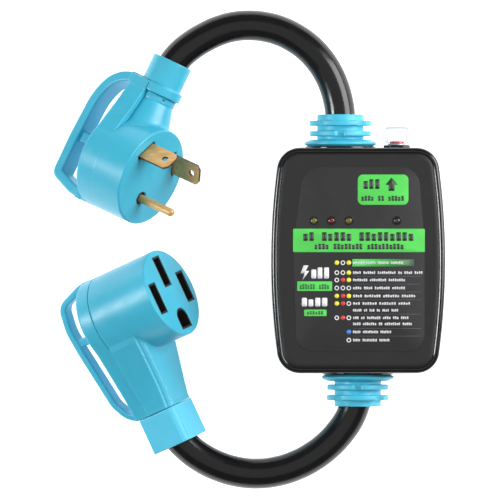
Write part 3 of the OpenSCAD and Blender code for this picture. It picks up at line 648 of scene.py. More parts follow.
def sharpen_seam(mesh, points, seam):
    """Shades the edges in the plane x = seam sharp."""
    ends = np.empty(2 * len(mesh.edges), np.int32)
    mesh.edges.foreach_get("vertices", ends)
    at_seam = np.abs(points[:, 0] - seam) < SEAM
    sharp = mesh.attributes.new("sharp_edge", "BOOLEAN", "EDGE")
    sharp.data.foreach_set("value", at_seam[ends.reshape(-1, 2)].all(1))


def field_piece(name, field, low, high, step, seat, node, seam=None, material=cyan_shell):
    """A piece of a moulded shell: the surface where the field is zero, within the box low..high."""
    axes = [np.arange(a, b + step, step) for a, b in zip(low, high)]
    x, y, z = np.meshgrid(*axes, indexing="ij", sparse=True)
    values = np.broadcast_to(field(x, y, z), tuple(len(a) for a in axes)).astype(np.float32)
    inside = values < 0
    cells, number = surface_cells(inside)
    corner = np.array([a[0] for a in axes])
    points = pulled(corner + step * cell_points(values, cells), field, step)
    obj = mesh_object(name, seat.world(points), surface_quads(inside, number))
    if seam is not None:
        sharpen_seam(obj.data, points, seam)
    place(obj, material, "cyan_shell", node)


# ---- cords


def cable(name, route, node):
    curve = bpy.data.curves.new(name, "CURVE")
    curve.dimensions = "3D"
    curve.bevel_depth = CABLE_D / 2 * MM
    curve.bevel_resolution = 12
    curve.resolution_u = 10
    curve.use_fill_caps = True
    spline = curve.splines.new("BEZIER")
    spline.bezier_points.add(len(route) - 1)
    for point, at in zip(spline.bezier_points, route):
        point.co = Vector(at) * MM
        point.handle_left_type = point.handle_right_type = "AUTO"
    return place(add_object(name, curve), jacket, "black_jacket", node)


plug_cord = cable("plug_cord", PLUG_ROUTE, "plug_cable")
connector_cord = cable("connector_cord", CONNECTOR_ROUTE, "connector_cable")

# ---- control box


def rounded_edge(r, z, up, n=7):
    """Insets and heights of a quarter round of radius r that ends at height z."""
    steps = [radians(90 * i / n) for i in range(n + 1)]
    sign = -1 if up else 1
    rings = [(r * (1 - cos(a)), z + sign * r * (1 - sin(a))) for a in steps]
    return rings if up else rings[::-1]


def case_piece(name, profile, material, node=None):
    rings = [[(x, y, z) for x, y in barrel(inset)] for inset, z in profile]
    place(loft(name, rings), material, "black_case", node)


# The lip between the shells, the edges' radii, and how deep the groove round the matt face is
LIP = 0.35
BACK_EDGE, FRONT_EDGE = 2.6, 2.3
GROOVE = 0.5
FACE_INSET = 3.5

rear_profile = rounded_edge(BACK_EDGE, 0, False) + [(0, 20), (0, SPLIT_Z - LIP), (LIP, SPLIT_Z)]
case_piece("rear_shell", rear_profile, black_gloss, "rear_case")
front_profile = [(LIP, SPLIT_Z + SEAL_T), (0, SPLIT_Z + SEAL_T + LIP)] + rounded_edge(FRONT_EDGE, BOX_D, True)
front_profile += [(2.6, BOX_D), (2.9, BOX_D - 0.35), (3.3, BOX_D - GROOVE), (3.8, BOX_D - GROOVE)]
case_piece("front_shell", front_profile, black_gloss, "front_case")
face_profile = [(FACE_INSET, BOX_D - 0.8), (FACE_INSET, BOX_D - 0.2), (FACE_INSET + 0.25, BOX_D),
        (6, BOX_D + 0.02)]
case_piece("front_face", face_profile, black_face)

# ---- labels


FILM_T = 0.12
FILM = LABEL_TOP + FILM_T
RESET_BOX, TITLE_BOX = (-0.3, 31.9, 28.8, 49.3), (-37.4, 4.8, 38.2, 18.2)
BADGE_BOXES = ((-35, -17.5, -15, -12), (-31, -31.9, -18.2, -28.2))


def box_outline(x0, y0, x1, y1, r):
    return rounded([(x1, y1), (x0, y1), (x0, y0), (x1, y0)], [r] * 4, 5)


def sticker(name, outline, height, ease):
    """A label that stands on the panel's film."""
    return slab(name, outline, FILM - 0.1, FILM + height, ease)


panel_outline = rounded([(34.5, 53.6), (-31.5, 53.6), (-37.2, 10), (-35.4, -52.4), (38, -52.4), (38, 10)],
        [11, 11, 60, 10, 10, 60])
panel = slab("overlay_panel", panel_outline, BOX_D - 0.1, FILM, 0.15)
place(panel, panel_film, "label_film", "overlay_label")
reset_label = sticker("reset_label", box_outline(*RESET_BOX, 3), 0.2, 0.08)
place(reset_label, green_print, "green_label", "reset_sticker")
title_label = sticker("title_label", box_outline(*TITLE_BOX, 0.6), 0.1, 0.05)
place(title_label, green_print, "green_label", "title_bar")
badges = [sticker("badge", box_outline(*box, 0.4), 0.1, 0.05) for box in BADGE_BOXES]
place(joined("badge_labels", badges), green_print, "green_label", "rating_badges")

# Widths of the strokes that stand in for lettering, used in turn
STROKES = (1, 0.72, 0.9, 0.55, 0.85, 1.05, 0.7, 0.95)


def stroke_row(x0, x1, y, h, words, top, first=0):
    """Plain blocks of height h, grouped like the words given, where the object has lettering."""
    unit, word_gap = h * 0.62, h * 0.75
    scale = (x1 - x0 - word_gap * (len(words) - 1)) / (sum(words) * unit)
    pitch, gap = unit * scale, h * 0.13 * scale
    pieces = []
    x, k = x0, first
    for letters in words:
        for _ in range(letters):
            wide = (pitch - gap) * (0.75 + 0.25 * STROKES[k % len(STROKES)])
            tall = h * (1 if k % 3 else 0.82)
            outline = box_outline(x, y, x + wide, y + tall, min(wide, tall) * 0.2)
            pieces.append(slab("stroke", outline, top - 0.05, top + 0.06))
            x += pitch
            k += 1
        x += word_gap
    return pieces


def marks(name, pieces, material, slot="label_film"):
    place(joined(name, pieces), material, slot)


arrow = rounded([(17.4, 39.9), (20.8, 39.9), (20.8, 43.4), (22.6, 43.4), (19.1, 47.6), (15.6, 43.4),
        (17.4, 43.4)], [0.2] * 7, 3)
marks("reset_marks", [slab("stroke", arrow, FILM + 0.15, FILM + 0.26)]
      + stroke_row(3, 13, 41, 5.6, [3], FILM + 0.2)
      + stroke_row(1.8, 26.6, 34.2, 2.9, [4, 2, 5], FILM + 0.2), dark_print, "green_label")
marks("title_marks", stroke_row(-31.6, 32.4, 11.2, 5, [2, 5, 9], FILM + 0.1)
      + stroke_row(-25, 26.4, 6.4, 3.2, [4, 8, 10], FILM + 0.1, 3), dark_print, "green_label")
marks("badge_marks", stroke_row(-33.6, -16.4, -16.4, 2.8, [6, 4], FILM + 0.1)
      + stroke_row(-29.4, -19.8, -31, 2, [6], FILM + 0.1), badge_print, "green_label")
bolt = [(-29.6, -2.8), (-31.4, -2.8), (-33, -7.4), (-30.8, -7.4), (-32, -11.4), (-28.2, -6), (-30.2, -6),
        (-28.6, -2.8)]
marks("rating_marks", [slab("stroke", bolt, FILM - 0.05, FILM + 0.08)]
      + stroke_row(-27, -16, -10.4, 6.4, [3], FILM)
      + stroke_row(-32.4, -17, -26.4, 5, [4], FILM, 2), white_print)

# Each row of the legend: its height, its three dots, where its line ends and the words in it
DOT_X = (-12.3, -8.8, -5.4)
DOT_R = 1.3
LEGEND = (
    (-1.3, "yoy", 26, [7, 6, 7, 8]), (-7, "ooy", 37, [4, 6, 9, 2, 4, 4]), (-11.2, "ory", 27, [7, 8, 8]),
    (-15.8, "ooo", 27, [4, 4, 7, 6]), (-20.4, "yry", 33, [4, 7, 7, 6]), (-24.7, "yro", 30, [3, 6, 7, 5]),
    (-32.9, "oro", 29, [3, 2, 7, 4, 3, 4]), (-41, "--b", 19, [5, 10, 7]), (-45.7, "--o", 18, [5, 10, 7]),
)
# Second lines of the rows that have two
SECOND_LINES = ((23, -29.4, [5, 2, 3, 2, 4, 4], 4), (31, -37.2, [4, 7, 2, 8, 5], 2))
RULES_Y = (-9.1, -13.6, -18.1, -22.6, -30.8, -39, -43.4)
LINE_X, LINE_H = -3, 1.6


def disc_outline(x, y, r):
    return arc(x, y, r, 0, 345, 23)


def dot(x, y):
    return slab("dot", disc_outline(x, y, DOT_R), FILM - 0.05, FILM + 0.07)


def ring_mark(x, y):
    """A flat ring: low and high outer circles, then the inner ones, joined by quads."""
    circles = disc_outline(x, y, DOT_R) + disc_outline(x, y, DOT_R * 0.62)
    points = [(px, py, z) for z in (FILM - 0.05, FILM + 0.07) for px, py in circles]
    n = len(circles) // 2
    faces = []
    for k in range(n):
        m = (k + 1) % n
        faces += [(2 * n + k, 2 * n + m, 3 * n + m, 3 * n + k), (m, k, n + k, n + m),
                (k, m, 2 * n + m, 2 * n + k), (n + m, n + k, 3 * n + k, 3 * n + m)]
    return mesh_object("ring", points, faces, smooth=False)


legend = {"y": [], "r": [], "b": [], "o": []}
for y, row, _, _ in LEGEND:
    for x, sort in zip(DOT_X, row):
        if sort in legend:
            legend[sort].append(ring_mark(x, y) if sort == "o" else dot(x, y))
marks("legend_yellow", legend["y"], yellow_print)
marks("legend_red", legend["r"], red_print)
marks("legend_blue", legend["b"], blue_print)
marks("legend_rings", legend["o"], white_print)

lines = []
for i, (y, _, end, words) in enumerate(LEGEND):
    lines += stroke_row(LINE_X, end, y - LINE_H / 2, LINE_H, words, FILM + (0.06 if i == 0 else 0), i)
for end, y, words, first in SECOND_LINES:
    lines += stroke_row(LINE_X, end, y, LINE_H, words, FILM, first)
marks("legend_lines", lines, line_print)
rules = [slab("rule", box_outline(LINE_X, y - 0.1, 36, y + 0.1, 0.05), FILM - 0.05, FILM + 0.03)
        for y in RULES_Y]
marks("legend_rules", rules, grey_print)
marks("legend_fade", [slab("fade", box_outline(-3.4, -3.5, 32, 0.8, 0.3), FILM - 0.05, FILM + 0.04)],
      fade_print)

# Radius and height of a lens, from its flat back to the top of its dome
DOME = [(0.01, 0), (1.75, 0), (1.75, 0.35), (1.5, 0.7), (1, 0.9), (0.5, 1), (0.01, 1.02)]
YELLOW_X, RED_X, BLUE_X = (-25.5, -5.4), (-15.5,), (22.2,)


def lens_piece(name, places, material, slot, node):
    """Domed status lenses of one colour."""
    domes = [lathe("dome", DOME, Seat((x, LENS_Y, FILM - 0.3)), 32) for x in places]
    place(joined(name, domes), material, slot, node)


lens_piece("yellow_domes", YELLOW_X, yellow_lamp, "yellow_lens", "yellow_lenses")
lens_piece("red_dome", RED_X, red_lamp, "red_lens", "red_lens")
lens_piece("blue_dome", BLUE_X, dark_lamp, "blue_lens", "blue_lens")
bezel_profile = rounded([(1.8, 0), (2.6, 0), (2.6, 0.5), (1.8, 0.5)], [0.1] * 4, 2)
bezels = [lathe("bezel", bezel_profile, Seat((x, LENS_Y, FILM - 0.25)), 32)
        for x in (YELLOW_X[0], RED_X[0], YELLOW_X[1], BLUE_X[0])]
marks("lens_bezels", bezels, black_gloss, "black_case")

# ---- glands and breaker

THROAT = CABLE_D / 2 + 0.1
GLAND_TAIL, GLAND_MOUTH = -9, 18.6
STEM_R, NOTCH_R = 14.2, 14.9
FLANGE_TOP, SECOND_RIB = 5, 10.5
# Radius and height of the flange and the two ribs, from the tail inside the case to the mouth
GLAND_PROFILE = [
    (12, GLAND_TAIL), (12, 0.3), (18.8, 0.3), (20.7, 1.4), (20.7, 2.4), (17.4, 3.9), (13.4, 3.9),
    (13.4, 6.1), (17.8, 6.1), (17.8, 9), (13.4, 9), (13.4, 12.1), (17.8, 12.1), (17.8, 15), (13.4, 15),
    (13.4, GLAND_MOUTH),
]
GLAND_EASE = [0.1, 0.3, 0.2, 0.3, 0.5, 0.5, 0.8, 0.5, 0.4, 0.5, 0.5, 0.4, 0.4, 0.5, 0.5, 0.4, 0.5, 0.4, 0.5]


def notched(r, h, angle):
    """Four notches in each rib, and those of the second rib turned by an eighth of a turn."""
    if r < STEM_R or h < FLANGE_TOP:
        return r
    eighth, quarter, notch_half = radians(45), radians(90), radians(9)
    turn = angle + (eighth if h > SECOND_RIB else 0)
    away = abs((turn + eighth) % quarter - eighth)
    return NOTCH_R + (r - STEM_R) * 0.12 if away < notch_half else r


def gland(name, seat, mouth, throat, node):
    profile = rounded([(throat, GLAND_TAIL)] + GLAND_PROFILE + [(mouth, GLAND_MOUTH), (throat, 2)],
            GLAND_EASE, 4)
    place(lathe(name, profile, seat, 144, notched), cyan_gland, "cyan_gland", node)


collar_profile = rounded([(12.4, -1.6), (20.2, -1.6), (20.2, 0.2), (12.4, 0.2)], [0.1, 0.3, 0.3, 0.1], 3)
for name, seat in (("upper_gasket", UPPER_END), ("lower_gasket", LOWER_END)):
    place(lathe(name, collar_profile, seat), black_gloss, "black_seal")
gland("upper_strain_relief", UPPER_END, THROAT + 0.5, THROAT, "upper_gland")
gland("lower_strain_relief", LOWER_END, THROAT + 2.6, THROAT + 0.6, "lower_gland")

# Radii and heights on the breaker's axis. A profile that closes on the axis stops at AXIS_R.
AXIS_R = 0.05
BUTTON_R, BUTTON_TOP = 4, 5.2
FOOT_R, FOOT_END, FOOT_TOP = 5, -9, -7
BUSHING_R, BUSHING_TOP = 5.3, 3.7
NUT_R, NUT_SEAT, NUT_TOP = 7.6, 1.2, 3
BOOT_R, BOOT_BORE, BOOT_RIM_R, BOOT_TOP = 6.4, 5.5, 6.9, 13

boot_profile = rounded([(BOOT_BORE, NUT_TOP), (BOOT_RIM_R, NUT_TOP), (BOOT_RIM_R, NUT_TOP + 1),
        (6.3, NUT_TOP + 1.4), (BOOT_R, BOOT_TOP), (AXIS_R, BOOT_TOP),
        (AXIS_R, BOOT_TOP - 1), (BOOT_BORE, BOOT_TOP - 1.1)],
        [0.2, 0.3, 0.3, 0.3, 0.9, 0.02, 0.02, 0.7], 4)
place(lathe("clear_boot", boot_profile, BREAKER_END, 64), vinyl, "clear_boot", "reset_boot")
# Painted shade: a dark grey ring at the clear boot's top rim and two dark grey strips down its sides paint
# the grey outline that the clear vinyl shows at its edges
rim_profile = rounded([(6, 12.5), (6.5, 12.5), (6.5, 13.1), (6, 13.1)], [0.1] * 4, 3)
boot_lines = [lathe("rim", rim_profile, BREAKER_END, 64)]
for side in (-1, 1):
    line = rounded([(6.55, 0.3), (6.2, 0.3), (6.2, -0.3), (6.55, -0.3)], [0.1] * 4, 3)
    boot_lines.append(slab("edge_shade_strip", [(side * x, y) for x, y in line], 4.2, 12.8, 0.1, BREAKER_END))
place(joined("boot_edge_shade_lines", boot_lines), boot_edge_shade, "clear_boot")

button_profile = rounded([(AXIS_R, FOOT_END), (FOOT_R, FOOT_END), (FOOT_R, FOOT_TOP), (BUTTON_R, FOOT_TOP),
        (BUTTON_R, BUTTON_TOP), (AXIS_R, BUTTON_TOP)], [0.02, 0.2, 0.2, 0.1, 0.7, 0.02], 5)
place(lathe("red_button", button_profile, BREAKER_END, 64), red_plastic, "red_button", "reset_button", BUTTON)
bore = BUTTON_R + 0.1
bushing_profile = rounded([(bore, -2.4), (5.2, -2.4), (5.2, -1), (BUSHING_R, -0.8),
        (BUSHING_R, BUSHING_TOP), (bore, BUSHING_TOP)],
        [0.1, 0.1, 0.05, 0.05, 0.4, 0.2], 4)
place(lathe("threaded_bushing", bushing_profile, BREAKER_END, 64), steel, "steel", "breaker_bushing")


def hexagonal(r, _, angle):
    """Hexagon in place of a circle, for radii beyond the nut's bore."""
    turn = angle % radians(60) - radians(30)
    return r if r < BUSHING_R + 0.7 else r * cos(radians(30)) / cos(turn)


bore = BUSHING_R + 0.15
nut_profile = rounded([(bore, NUT_SEAT), (NUT_R, NUT_SEAT), (NUT_R, NUT_TOP - 0.5), (NUT_R - 0.6, NUT_TOP),
        (bore, NUT_TOP)], [0.1, 0.2, 0.2, 0.2, 0.2], 4)
place(lathe("hex_nut", nut_profile, BREAKER_END, 144, hexagonal), black_gloss, "black_nylon", "breaker_nut")

# ---- plug

PLUG_R, PLUG_BACK, PLUG_SPLIT = 28.75, -32.4, -20.5
SLEEVE_X, NECK_TOP, SLEEVE_END = -20.4, 44.8, 65.8
NECK_ROOT_Y, NECK_ROOT_R, NECK_TIP_R, RING_Y, RING_R = 14, 19.5, 11.5, 41, 11.9
SLEEVE_R, COLLAR_R, COLLAR_TOP = 11.7, 13.5, 50.2
PLUG_SEAM = 0.02
PLUG_WALL, PLUG_FACE_T = 2.6, 4
BLADE_Y, BLADE_Z, BLADE_SLANT = 12.6, 15.8, radians(35)
SLOT_HALF_LEN, SLOT_HALF_W = 7.45, 1.7
PIN_Y, PIN_HOLE_R = -13.4, 4
DIMPLE_Y, DIMPLE_R, DIMPLE_DEPTH, DIMPLE_TURN = 43, 0.75, 1.4, radians(32.6)
CORD_BORE_R, MOUTH_FLARE = 9.15, 1.1
SCREW_AT, SCREW_HOLE_R = 16.48, 3.2
PLUG_BAND_T, PLUG_BAND_HALF, BAND_SWELL = 4.9, 7, 0.45

# Half width of the rear cover's web from the head to the collar
WEB_Y = (5, 14, 22, 30.5, 38, 44.8)
WEB_HALF = (28, 25.2, 22.3, 19, 16.6, 14.2)


def inner_loop(points, radii, inset):
    """The rounded loop that runs inset inside an outline drawn anticlockwise."""
    moved = []
    count = len(points)
    for i in range(count):
        a, b, c = (Vector(points[(i + k) % count]) for k in (-1, 0, 1))
        d0, d1 = (b - a).normalized(), (c - b).normalized()
        n0, n1 = Vector((-d0.y, d0.x)), Vector((-d1.y, d1.x))
        moved.append(tuple(b + (n0 + n1) * inset / (1 + n0.dot(n1))))
    return rounded(moved, [max(0.4, r - inset) for r in radii], 8)


plug_loop = inner_loop(
    [(-20, 50), (-48.5, 50), (-56.8, 30), (-58.3, 3), (-58.3, -21.3), (-43, -26.8), (-36, -27.6),
     (-20, -27.6)],
    [0.5, 20, 40, 60, 5, 20, 10, 0.5], PLUG_BAND_T / 2 - BAND_SWELL)


# Cosine of the neck's taper, which turns a radial distance into one square to the cone
CONE_COS = 0.959


def neck_radius(y):
    return np.interp(y, (NECK_ROOT_Y, RING_Y), (NECK_ROOT_R, NECK_TIP_R))


def plug_neck(x, y, z, grow=0):
    rho = np.hypot(x - SLEEVE_X, z) - grow
    cone = meet((rho - neck_radius(y)) * CONE_COS, between(y, 0, RING_Y + 0.3, 0.2), 0.2)
    ring = meet(rho - RING_R, between(y, RING_Y, NECK_TOP, 0.2), 0.25)
    return join(cone, ring, 0.12)


def plug_outer(x, y, z, grow=0):
    head = meet(np.hypot(y, z) - PLUG_R - grow, x - grow, 0.7)
    return join(head, plug_neck(x, y, z, grow), 1.6)


def blade_frame(y, z, side):
    """Distances along and across one blade's width."""
    dy, dz = y - BLADE_Y, z - side * BLADE_Z
    along = dy * cos(BLADE_SLANT) - side * dz * sin(BLADE_SLANT)
    across = dy * side * sin(BLADE_SLANT) + dz * cos(BLADE_SLANT)
    return along, across


def plug_front(x, y, z):
    shell = cut(plug_outer(x, y, z), meet(plug_outer(x, y, z, -PLUG_WALL), x + PLUG_FACE_T, 0.3), 0.3)
    shell = meet(shell, PLUG_SPLIT + PLUG_SEAM - x, 0.06)
    for side in (-1, 1):
        along, across = blade_frame(y, z, side)
        shell = cut(shell, meet(np.abs(along) - SLOT_HALF_LEN, np.abs(across) - SLOT_HALF_W, 0.2), 0.2)
    shell = cut(shell, np.hypot(y - PIN_Y, z) - PIN_HOLE_R, 0.3)
    angle = np.arctan2(z, x - SLEEVE_X) - DIMPLE_TURN
    dimple = np.hypot(angle * RING_R, y - DIMPLE_Y) - DIMPLE_R
    return cut(shell, meet(dimple, RING_R - DIMPLE_DEPTH - np.hypot(x - SLEEVE_X, z), 0.1), 0.15)


def plug_web(y, z):
    """Keyhole outline of the rear cover in the (y, z) plane."""
    side = np.abs(z)
    flank = (side - np.interp(y, WEB_Y, WEB_HALF)) * 0.9
    neck = meet(meet(flank, y - NECK_TOP, 0.8), WEB_Y[0] - y, 0.1)
    return np.minimum(np.hypot(y, z) - PLUG_R, neck)


def plug_hollow(y, z):
    """Outline of the cavity behind the head and the neck."""
    top = NECK_TOP - 3
    half = np.interp(y, (NECK_ROOT_Y, top), (17.5, 9.7))
    neck = meet(meet(np.abs(z) - half, y - top, 0.3), -y, 0.2)
    return np.minimum(np.hypot(y, z) - PLUG_R + PLUG_WALL, neck)


def screw_holes(body, floor, y, z, centres):
    for cy, cz in centres:
        head = np.hypot(y - cy, z - cz) - SCREW_HOLE_R
        body = cut(body, meet(head, floor, 0.2), 0.4)
    return body


def plug_handle(x, y, z):
    """The handle's band, a rib across it and its thicker root on the cover."""
    loop = loop_distance(x, y, plug_loop) - PLUG_BAND_T / 2 - BAND_SWELL
    band = meet(loop, np.abs(z) - PLUG_BAND_HALF, 1)
    rib = meet(between(y, 1.5, 8, 0.8), np.abs(z) - 4, 0.8)
    rib = meet(rib, between(x, -55.5, -30, 0.5), 0.5)
    root = meet(meet(loop - 0.4, np.abs(z) - PLUG_BAND_HALF - 0.4, 0.5), between(x, -38, -34, 0.3), 0.3)
    handle = join(join(band, rib, 1.2), root, 0.2)
    return meet(handle, x - (PLUG_BACK + 1.5), 0.2)


def plug_rear(x, y, z):
    plate = meet(plug_web(y, z), PLUG_BACK - x, 1.2)
    plate = meet(plate, x - (PLUG_SPLIT - PLUG_SEAM), 0.06)
    flange = meet(between(x, -34.5, PLUG_SPLIT - SEAM, 0.5), between(y, NECK_TOP - 0.4, COLLAR_TOP, 0.6), 0.6)
    flange = meet(flange, np.abs(z) - COLLAR_R, 0.8)
    spigot = meet(np.hypot(y, z) - PLUG_R + 0.08, between(x, PLUG_SPLIT - 1.5, PLUG_SPLIT + 1.2, 0.1), 0.1)
    body = join(join(join(plate, flange, 0.4), plug_handle(x, y, z), 1), spigot, 0.02)
    body = cut(body, meet(plug_hollow(y, z), PLUG_BACK + PLUG_WALL - x, 0.8), 0.3)
    bore = np.hypot(x - SLEEVE_X, z)
    body = cut(body, meet(bore - 9.4, 40 - y, 0.2), 0.2)
    body = cut(body, meet(bore - SLEEVE_R - 0.1, NECK_TOP - y, 0.2), 0.2)
    centres = [(i * SCREW_AT, j * SCREW_AT) for i in (-1, 1) for j in (-1, 1)]
    return screw_holes(body, x - (PLUG_BACK + 2.2), y, z, centres)


def plug_sleeve(x, y, z):
    rho = np.hypot(x - SLEEVE_X, z)
    tube = meet(rho - SLEEVE_R, between(y, NECK_TOP + 0.1, SLEEVE_END, 0.5), 0.6)
    collar = meet(rho - COLLAR_R, between(y, NECK_TOP + 0.1, COLLAR_TOP, 0.4), 0.4)
    collar = meet(collar, PLUG_SPLIT + SEAM - x, 0.4)
    body = join(tube, collar, 0.5)
    taper = np.clip((y - SLEEVE_END + 12) / 12, 0, 1)
    return cut(body, rho - (CORD_BORE_R + MOUTH_FLARE * taper), 0.4)


STEP = 0.5
field_piece("plug_front_body", plug_front, (-22.5, -30.5, -30.5), (1.5, 46.5, 30.5), STEP, PLUG,
        "plug_front_shell", PLUG_SPLIT)
field_piece("plug_rear_body", plug_rear, (-60.5, -30.5, -30.5), (-18.5, 52, 30.5), STEP, PLUG,
        "plug_rear_cover", PLUG_SPLIT)
field_piece("plug_cord_sleeve", plug_sleeve, (-35, 43.5, -14.5), (-5.5, 67.5, 14.5), STEP, PLUG,
        "plug_sleeve")


def prong(name, node, side):
    """Flat blade whose sheared edge faces carry a painted shade, darker than its rolled faces."""
    obj = eased_copy(name, node, brass, 0.3, "brass")
    obj.data.materials.append(brass_edge_shade)
    slant = side * BLADE_SLANT
    broad = Vector(PLUG.axes @ np.array([0, sin(slant), cos(slant)]))
    # Faces turned away from the broad faces, the sheared edges, take the painted edge shade
    for face in obj.data.polygons:
        face.material_index = int(abs(face.normal.dot(broad)) < 0.6)


prong("hot_prong", "hot_blade", 1)
prong("neutral_prong", "neutral_blade", -1)
eased_copy("ground_prong", "ground_pin", brass, 0.12, "brass")

# ---- connector

CONN_R, CONN_BACK, CONN_SPLIT = 26.1, -50.3, -41
NECK_BACK, SLEEVE_BACK, NECK_STEP, NECK_END = -50.1, -47.7, 59.5, 81
SLEEVE_FRONT = -24.1
CONN_WALL, NECK_WALL = 2.6, 2.2
NEUTRAL_Y, GROUND_Y, GROUND_END, GROUND_R = 13.2, -16.2, -22.3, 6.2
SLOT_SPREAD, SLOT_LEN, SLOT_W = 17.2, 18.6, 8.7
CONN_BAND_T, CONN_BAND_HALF, CONN_BAND_SHIFT, CONN_BAND_SWELL = 3.4, 4.3, 0.35, 0.25
CONN_FACE_T, SCREW_RING, CONN_SCREW_TURNS = 3.5, 20.5, (45, 105, 255, 315)
CHAMFER, GROOVE_R = 1.82, 0.38
DIAGONAL = 0.7071
PANEL_TOP, PANEL_T, PANEL_INSET = -13.5, 1.2, 3.1

# The neck's half width and front face from the cable's end to the head
NECK_Y = (-60, -57, -52, -42, -26, -13.5, -8)
NECK_HALF = (13.2, 13.2, 13.7, 15.6, 19.2, 22.1, 23.2)
NECK_FRONT = (-24.1, -24.1, -23.4, -22.1, -20.3, -19.2, -18.7)

conn_loop = inner_loop(
    [(-35, 25.6), (-52, 25.6), (-70, 19.3), (-72.4, 4), (-71, -10), (-65.5, -46), (-58, -59.4), (-35, -59.4)],
    [0.5, 20, 9, 30, 60, 16, 14, 0.5], CONN_BAND_T / 2 - CONN_BAND_SHIFT)


def neck_faces(x, y, z):
    """Distances out of the neck's side and out of its front."""
    side = (np.abs(z) - np.interp(y, NECK_Y, NECK_HALF)) * 0.975
    front = (x - np.interp(y, NECK_Y, NECK_FRONT)) * 0.99
    return side, front


def conn_neck(x, y, z, back, grow=0):
    """Tapered box with chamfered front edges and a fine groove on each side of the chamfers."""
    side, front = (face - grow for face in neck_faces(x, y, z))
    corner = (side + front) * DIAGONAL + CHAMFER
    skew = np.abs(front - side) * DIAGONAL
    groove = np.hypot(corner, skew - CHAMFER + 0.25) - GROOVE_R
    box = cut(meet(meet(side, front, 0.1), corner, 0.2), groove, 0.1)
    return meet(meet(box, back - grow - x, 0.8), y, 0.3)


def conn_panel(x, y, z):
    """Raised panel on each side of the neck."""
    side, front = neck_faces(x, y, z)
    panel = meet(side - PANEL_T, (y - PANEL_TOP + 4) * 0.22 + side - PANEL_T, 0.05)
    panel = meet(panel, front + PANEL_INSET, 0.15)
    return meet(meet(panel, CONN_SPLIT - x, 0.2), between(y, -NECK_STEP + SEAM, PANEL_TOP, 0.25), 0.3)


def conn_hollow(x, y, z):
    return meet(conn_neck(x, y, z, NECK_BACK, -NECK_WALL), y + 4, 0.3)


def with_neck(head, x, y, z):
    """The head joined to the neck, which stops at the sleeve."""
    return join(head, meet(conn_neck(x, y, z, NECK_BACK), -NECK_STEP + SEAM - y, 0.2), 0.8)


def conn_front(x, y, z):
    outer = with_neck(meet(np.hypot(y, z) - CONN_R, x, 0.6), x, y, z)
    outer = join(outer, conn_panel(x, y, z), 0.15)
    inner_head = meet(np.hypot(y, z) - CONN_R + CONN_WALL, x + CONN_FACE_T, 0.3)
    body = cut(outer, join(inner_head, conn_hollow(x, y, z), 0.5), 0.3)
    body = meet(body, CONN_SPLIT + SEAM - x, 0.25)
    for cy, cz in ((NEUTRAL_Y, 0), (0, SLOT_SPREAD), (0, -SLOT_SPREAD)):
        slot = meet(np.abs(y - cy) - SLOT_LEN / 2, np.abs(z - cz) - SLOT_W / 2, 0.2)
        body = cut(body, slot, 0.15)
    square = meet(between(y, GROUND_END, GROUND_Y, 0.1), np.abs(z) - GROUND_R, 0.2)
    return cut(body, np.minimum(square, np.hypot(y - GROUND_Y, z) - GROUND_R), 0.15)


def conn_rear(x, y, z):
    outer = with_neck(meet(np.hypot(y, z) - CONN_R, CONN_BACK - x, 1.4), x, y, z)
    loop = loop_distance(x, y, conn_loop) - CONN_BAND_T / 2 - CONN_BAND_SWELL
    band = meet(loop, np.abs(z) - CONN_BAND_HALF, 0.9)
    rib = meet(meet(between(y, -7.5, -2.5, 0.7), np.abs(z) - 3.3, 0.7), between(x, -69.5, -47, 0.5), 0.5)
    handle = meet(join(band, rib, 1), x - (NECK_BACK + 2), 0.2)
    outer = join(outer, handle, 1)
    inner_head = meet(np.hypot(y, z) - CONN_R + CONN_WALL, CONN_BACK + CONN_WALL - x, 0.8)
    body = cut(outer, join(inner_head, conn_hollow(x, y, z), 0.5), 0.3)
    body = meet(body, x - (CONN_SPLIT - SEAM), 0.25)
    centres = [(SCREW_RING * cos(radians(a)), SCREW_RING * sin(radians(a))) for a in CONN_SCREW_TURNS]
    return screw_holes(body, x - (CONN_BACK + 3), y, z, centres)


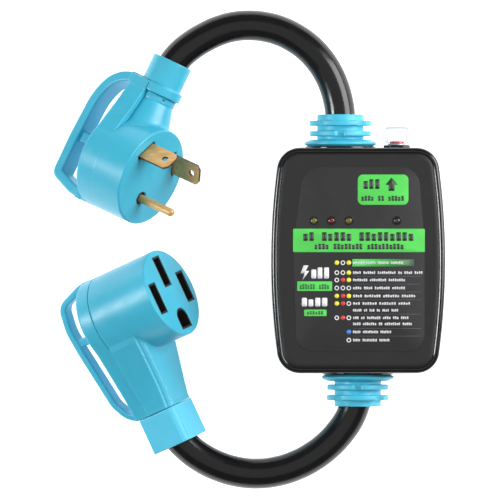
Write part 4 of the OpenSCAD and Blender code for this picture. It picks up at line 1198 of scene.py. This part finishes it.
def conn_sleeve(x, y, z):
    outer = meet(conn_neck(x, y, z, SLEEVE_BACK, 0.3), between(y, -NECK_END, -NECK_STEP - SEAM, 0.3), 0.3)
    bore = np.hypot((x - (SLEEVE_FRONT + SLEEVE_BACK) / 2 - 0.4) / 1.03, z) - 9.4
    return cut(outer, bore, 0.5)


CONN_STEP = 0.45
field_piece("connector_front_body", conn_front, (-42.5, -61.5, -28.5), (1.5, 28, 28.5), CONN_STEP,
        CONNECTOR, "connector_front_shell")
field_piece("connector_rear_body", conn_rear, (-74.5, -61.5, -28.5), (-39.5, 28, 28.5), CONN_STEP,
        CONNECTOR, "connector_rear_cover")
field_piece("connector_cord_sleeve", conn_sleeve, (-49.5, -83, -15.5), (-22.5, -57.5, 15.5), CONN_STEP,
        CONNECTOR, "connector_sleeve", material=cyan_sleeve)

# ---- CAD nodes that stay

NODE_LOOKS = {
    seal_rubber: ("case_seal",),
    steel: ("case_screws", "board_screws", "block_screws", "plug_screws", "connector_screws",
        "plug_cord_clamp", "connector_cord_clamp", "thermal_fuses"),
    board_green: ("circuit_board",),
    lamp_clear: ("led_lamps",),
    disc_blue: ("varistors",),
    film_amber: ("filter_capacitor",),
    pale_nylon: ("terminal_block",),
    core_black: ("hot_wires", "plug_wires", "connector_wires"),
    core_white: ("neutral_wires",),
    core_green: ("ground_wires",),
    black_nylon: ("breaker_body", "plug_blade_base", "contact_carrier"),
    brass: ("breaker_terminals", "hot_contacts", "neutral_contact", "ground_contact"),
    cyan_gland: ("gland_locknuts",),
}
for material, names in NODE_LOOKS.items():
    for name in names:
        slots = frame["nodes"][name].data.materials
        slots.clear()
        slots.append(material)

# ---- floor


def add_floor():
    """Plain pale floor that glows a little, so that it stays white between the lights."""
    half, level = 3000, -0.05
    corners = [(-half, -half, level), (half, -half, level), (half, half, level), (-half, half, level)]
    floor = mesh_object("floor", corners, [(0, 1, 2, 3)], smooth=False)
    look = Look("floor")
    look.shader.inputs["Emission Strength"].default_value = 0.85
    look.shader.inputs["Emission Color"].default_value = (1, 1, 1, 1)
    look.colour(look.blend(look.noise(3, 2), (0.9, 0.9, 0.9, 1), (0.93, 0.93, 0.93, 1)))
    look.roughness(look.noise(5, 2), 0.8, 0.9)
    floor.data.materials.append(look.material)


add_floor()
